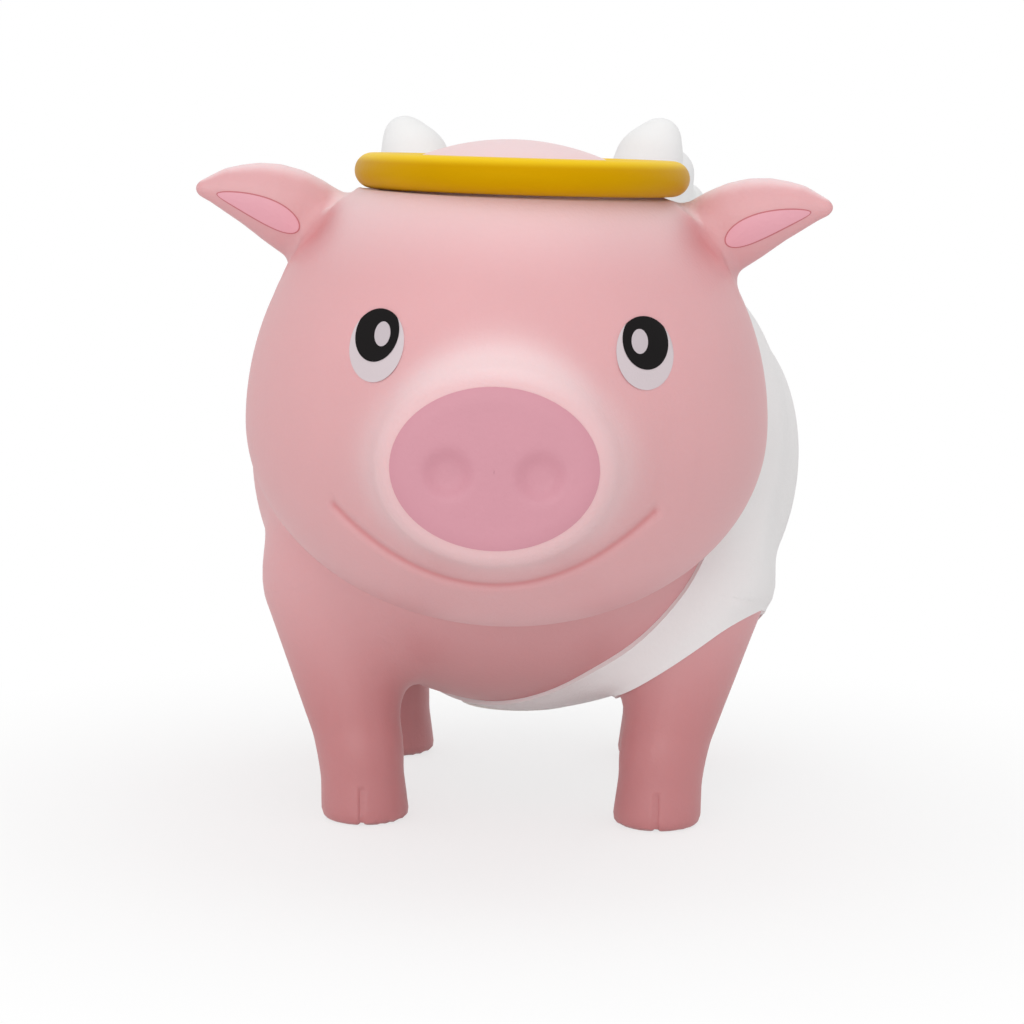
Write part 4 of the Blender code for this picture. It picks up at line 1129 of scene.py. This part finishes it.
def backdrop_paint(name):
    """White to the camera, with a share of its own shading near the figure, where the shadow is."""
    mat = bpy.data.materials.new(name)
    mat.use_nodes = True
    tree = mat.node_tree
    shader = tree.nodes["Principled BSDF"]
    shader.inputs["Base Color"].default_value = (FLOOR_GREY, FLOOR_GREY, FLOOR_GREY, 1)
    shader.inputs["Roughness"].default_value = FLOOR_ROUGH
    glow = tree.nodes.new("ShaderNodeEmission")
    glow.inputs["Strength"].default_value = 1.0
    path = tree.nodes.new("ShaderNodeLightPath")
    where = tree.nodes.new("ShaderNodeTexCoord")
    reach = tree.nodes.new("ShaderNodeVectorMath")
    reach.operation = "LENGTH"
    fade = tree.nodes.new("ShaderNodeMapRange")
    fade.interpolation_type = "SMOOTHSTEP"
    fade.inputs["From Min"].default_value = FLOOR_NEAR
    fade.inputs["From Max"].default_value = FLOOR_FAR
    fade.inputs["To Min"].default_value = 1 - FLOOR_OWN_SHARE
    fade.inputs["To Max"].default_value = 1.0
    scale = tree.nodes.new("ShaderNodeMath")
    scale.operation = "MULTIPLY"
    seen = white_rays(tree, path)
    mix = tree.nodes.new("ShaderNodeMixShader")
    out = tree.nodes["Material Output"]
    tree.links.new(where.outputs["Object"], reach.inputs[0])
    tree.links.new(reach.outputs["Value"], fade.inputs["Value"])
    tree.links.new(fade.outputs["Result"], scale.inputs[1])
    tree.links.new(seen, scale.inputs[0])
    tree.links.new(scale.outputs["Value"], mix.inputs["Fac"])
    tree.links.new(shader.outputs["BSDF"], mix.inputs[1])
    tree.links.new(glow.outputs["Emission"], mix.inputs[2])
    tree.links.new(mix.outputs["Shader"], out.inputs["Surface"])
    return mat


def make_studio():
    bm = bmesh.new()
    bmesh.ops.create_grid(bm, x_segments=1, y_segments=1, size=FLOOR_HALF_SIZE)
    floor = from_bmesh("floor", bm)
    floor.data.materials.append(backdrop_paint("floor_paint"))

    world = bpy.data.worlds.new("studio")
    bpy.context.scene.world = world
    world.use_nodes = True
    tree = world.node_tree
    ambient = tree.nodes["Background"]
    ambient.inputs["Color"].default_value = (1.0, 1.0, 1.0, 1)
    ambient.inputs["Strength"].default_value = AMBIENT
    white = tree.nodes.new("ShaderNodeBackground")
    white.inputs["Color"].default_value = (1, 1, 1, 1)
    white.inputs["Strength"].default_value = 1.0
    path = tree.nodes.new("ShaderNodeLightPath")
    seen = white_rays(tree, path)
    mix = tree.nodes.new("ShaderNodeMixShader")
    tree.links.new(seen, mix.inputs["Fac"])
    tree.links.new(ambient.outputs["Background"], mix.inputs[1])
    tree.links.new(white.outputs["Background"], mix.inputs[2])
    tree.links.new(mix.outputs["Shader"], tree.nodes["World Output"].inputs["Surface"])

    for name, place, aim, size, power in LAMPS:
        light = bpy.data.lights.new(name, "AREA")
        light.shape = "DISK"
        light.size = size
        light.energy = power
        lamp = bpy.data.objects.new(name, light)
        bpy.context.scene.collection.objects.link(lamp)
        lamp.location = place
        lamp.rotation_euler = (Vector(aim) - Vector(place)).to_track_quat("-Z", "Y").to_euler()

    turn, drop, roll = (math.radians(v) for v in (CAMERA_TURN_DEG, CAMERA_DROP_DEG,
                                                  CAMERA_ROLL_DEG))
    back = Vector((math.sin(turn) * math.cos(drop), -math.cos(turn) * math.cos(drop),
                   math.sin(drop)))
    right = (-back).cross(Vector((0, 0, 1))).normalized()
    up = right.cross(-back)
    right, up = (right * math.cos(roll) + up * math.sin(roll),
                 up * math.cos(roll) - right * math.sin(roll))
    lens = bpy.data.cameras.new("camera")
    lens.sensor_width = SENSOR_MM
    lens.lens = SENSOR_MM * FOCAL_PIXELS / IMAGE_PIXELS
    lens.shift_y = (OPTICAL_ROW - IMAGE_PIXELS / 2) / IMAGE_PIXELS
    lens.clip_start = CLIP_START
    camera = bpy.data.objects.new("camera", lens)
    bpy.context.scene.collection.objects.link(camera)
    camera.matrix_world = (Matrix.Translation(Vector(CAMERA_TARGET) + back * CAMERA_DISTANCE)
                           @ Matrix((right, up, back)).transposed().to_4x4())
    bpy.context.scene.camera = camera
    bpy.context.scene.view_settings.view_transform = "Standard"


make_head()
make_face()
make_halo()
make_body()
make_wings()
make_tail()
make_studio()
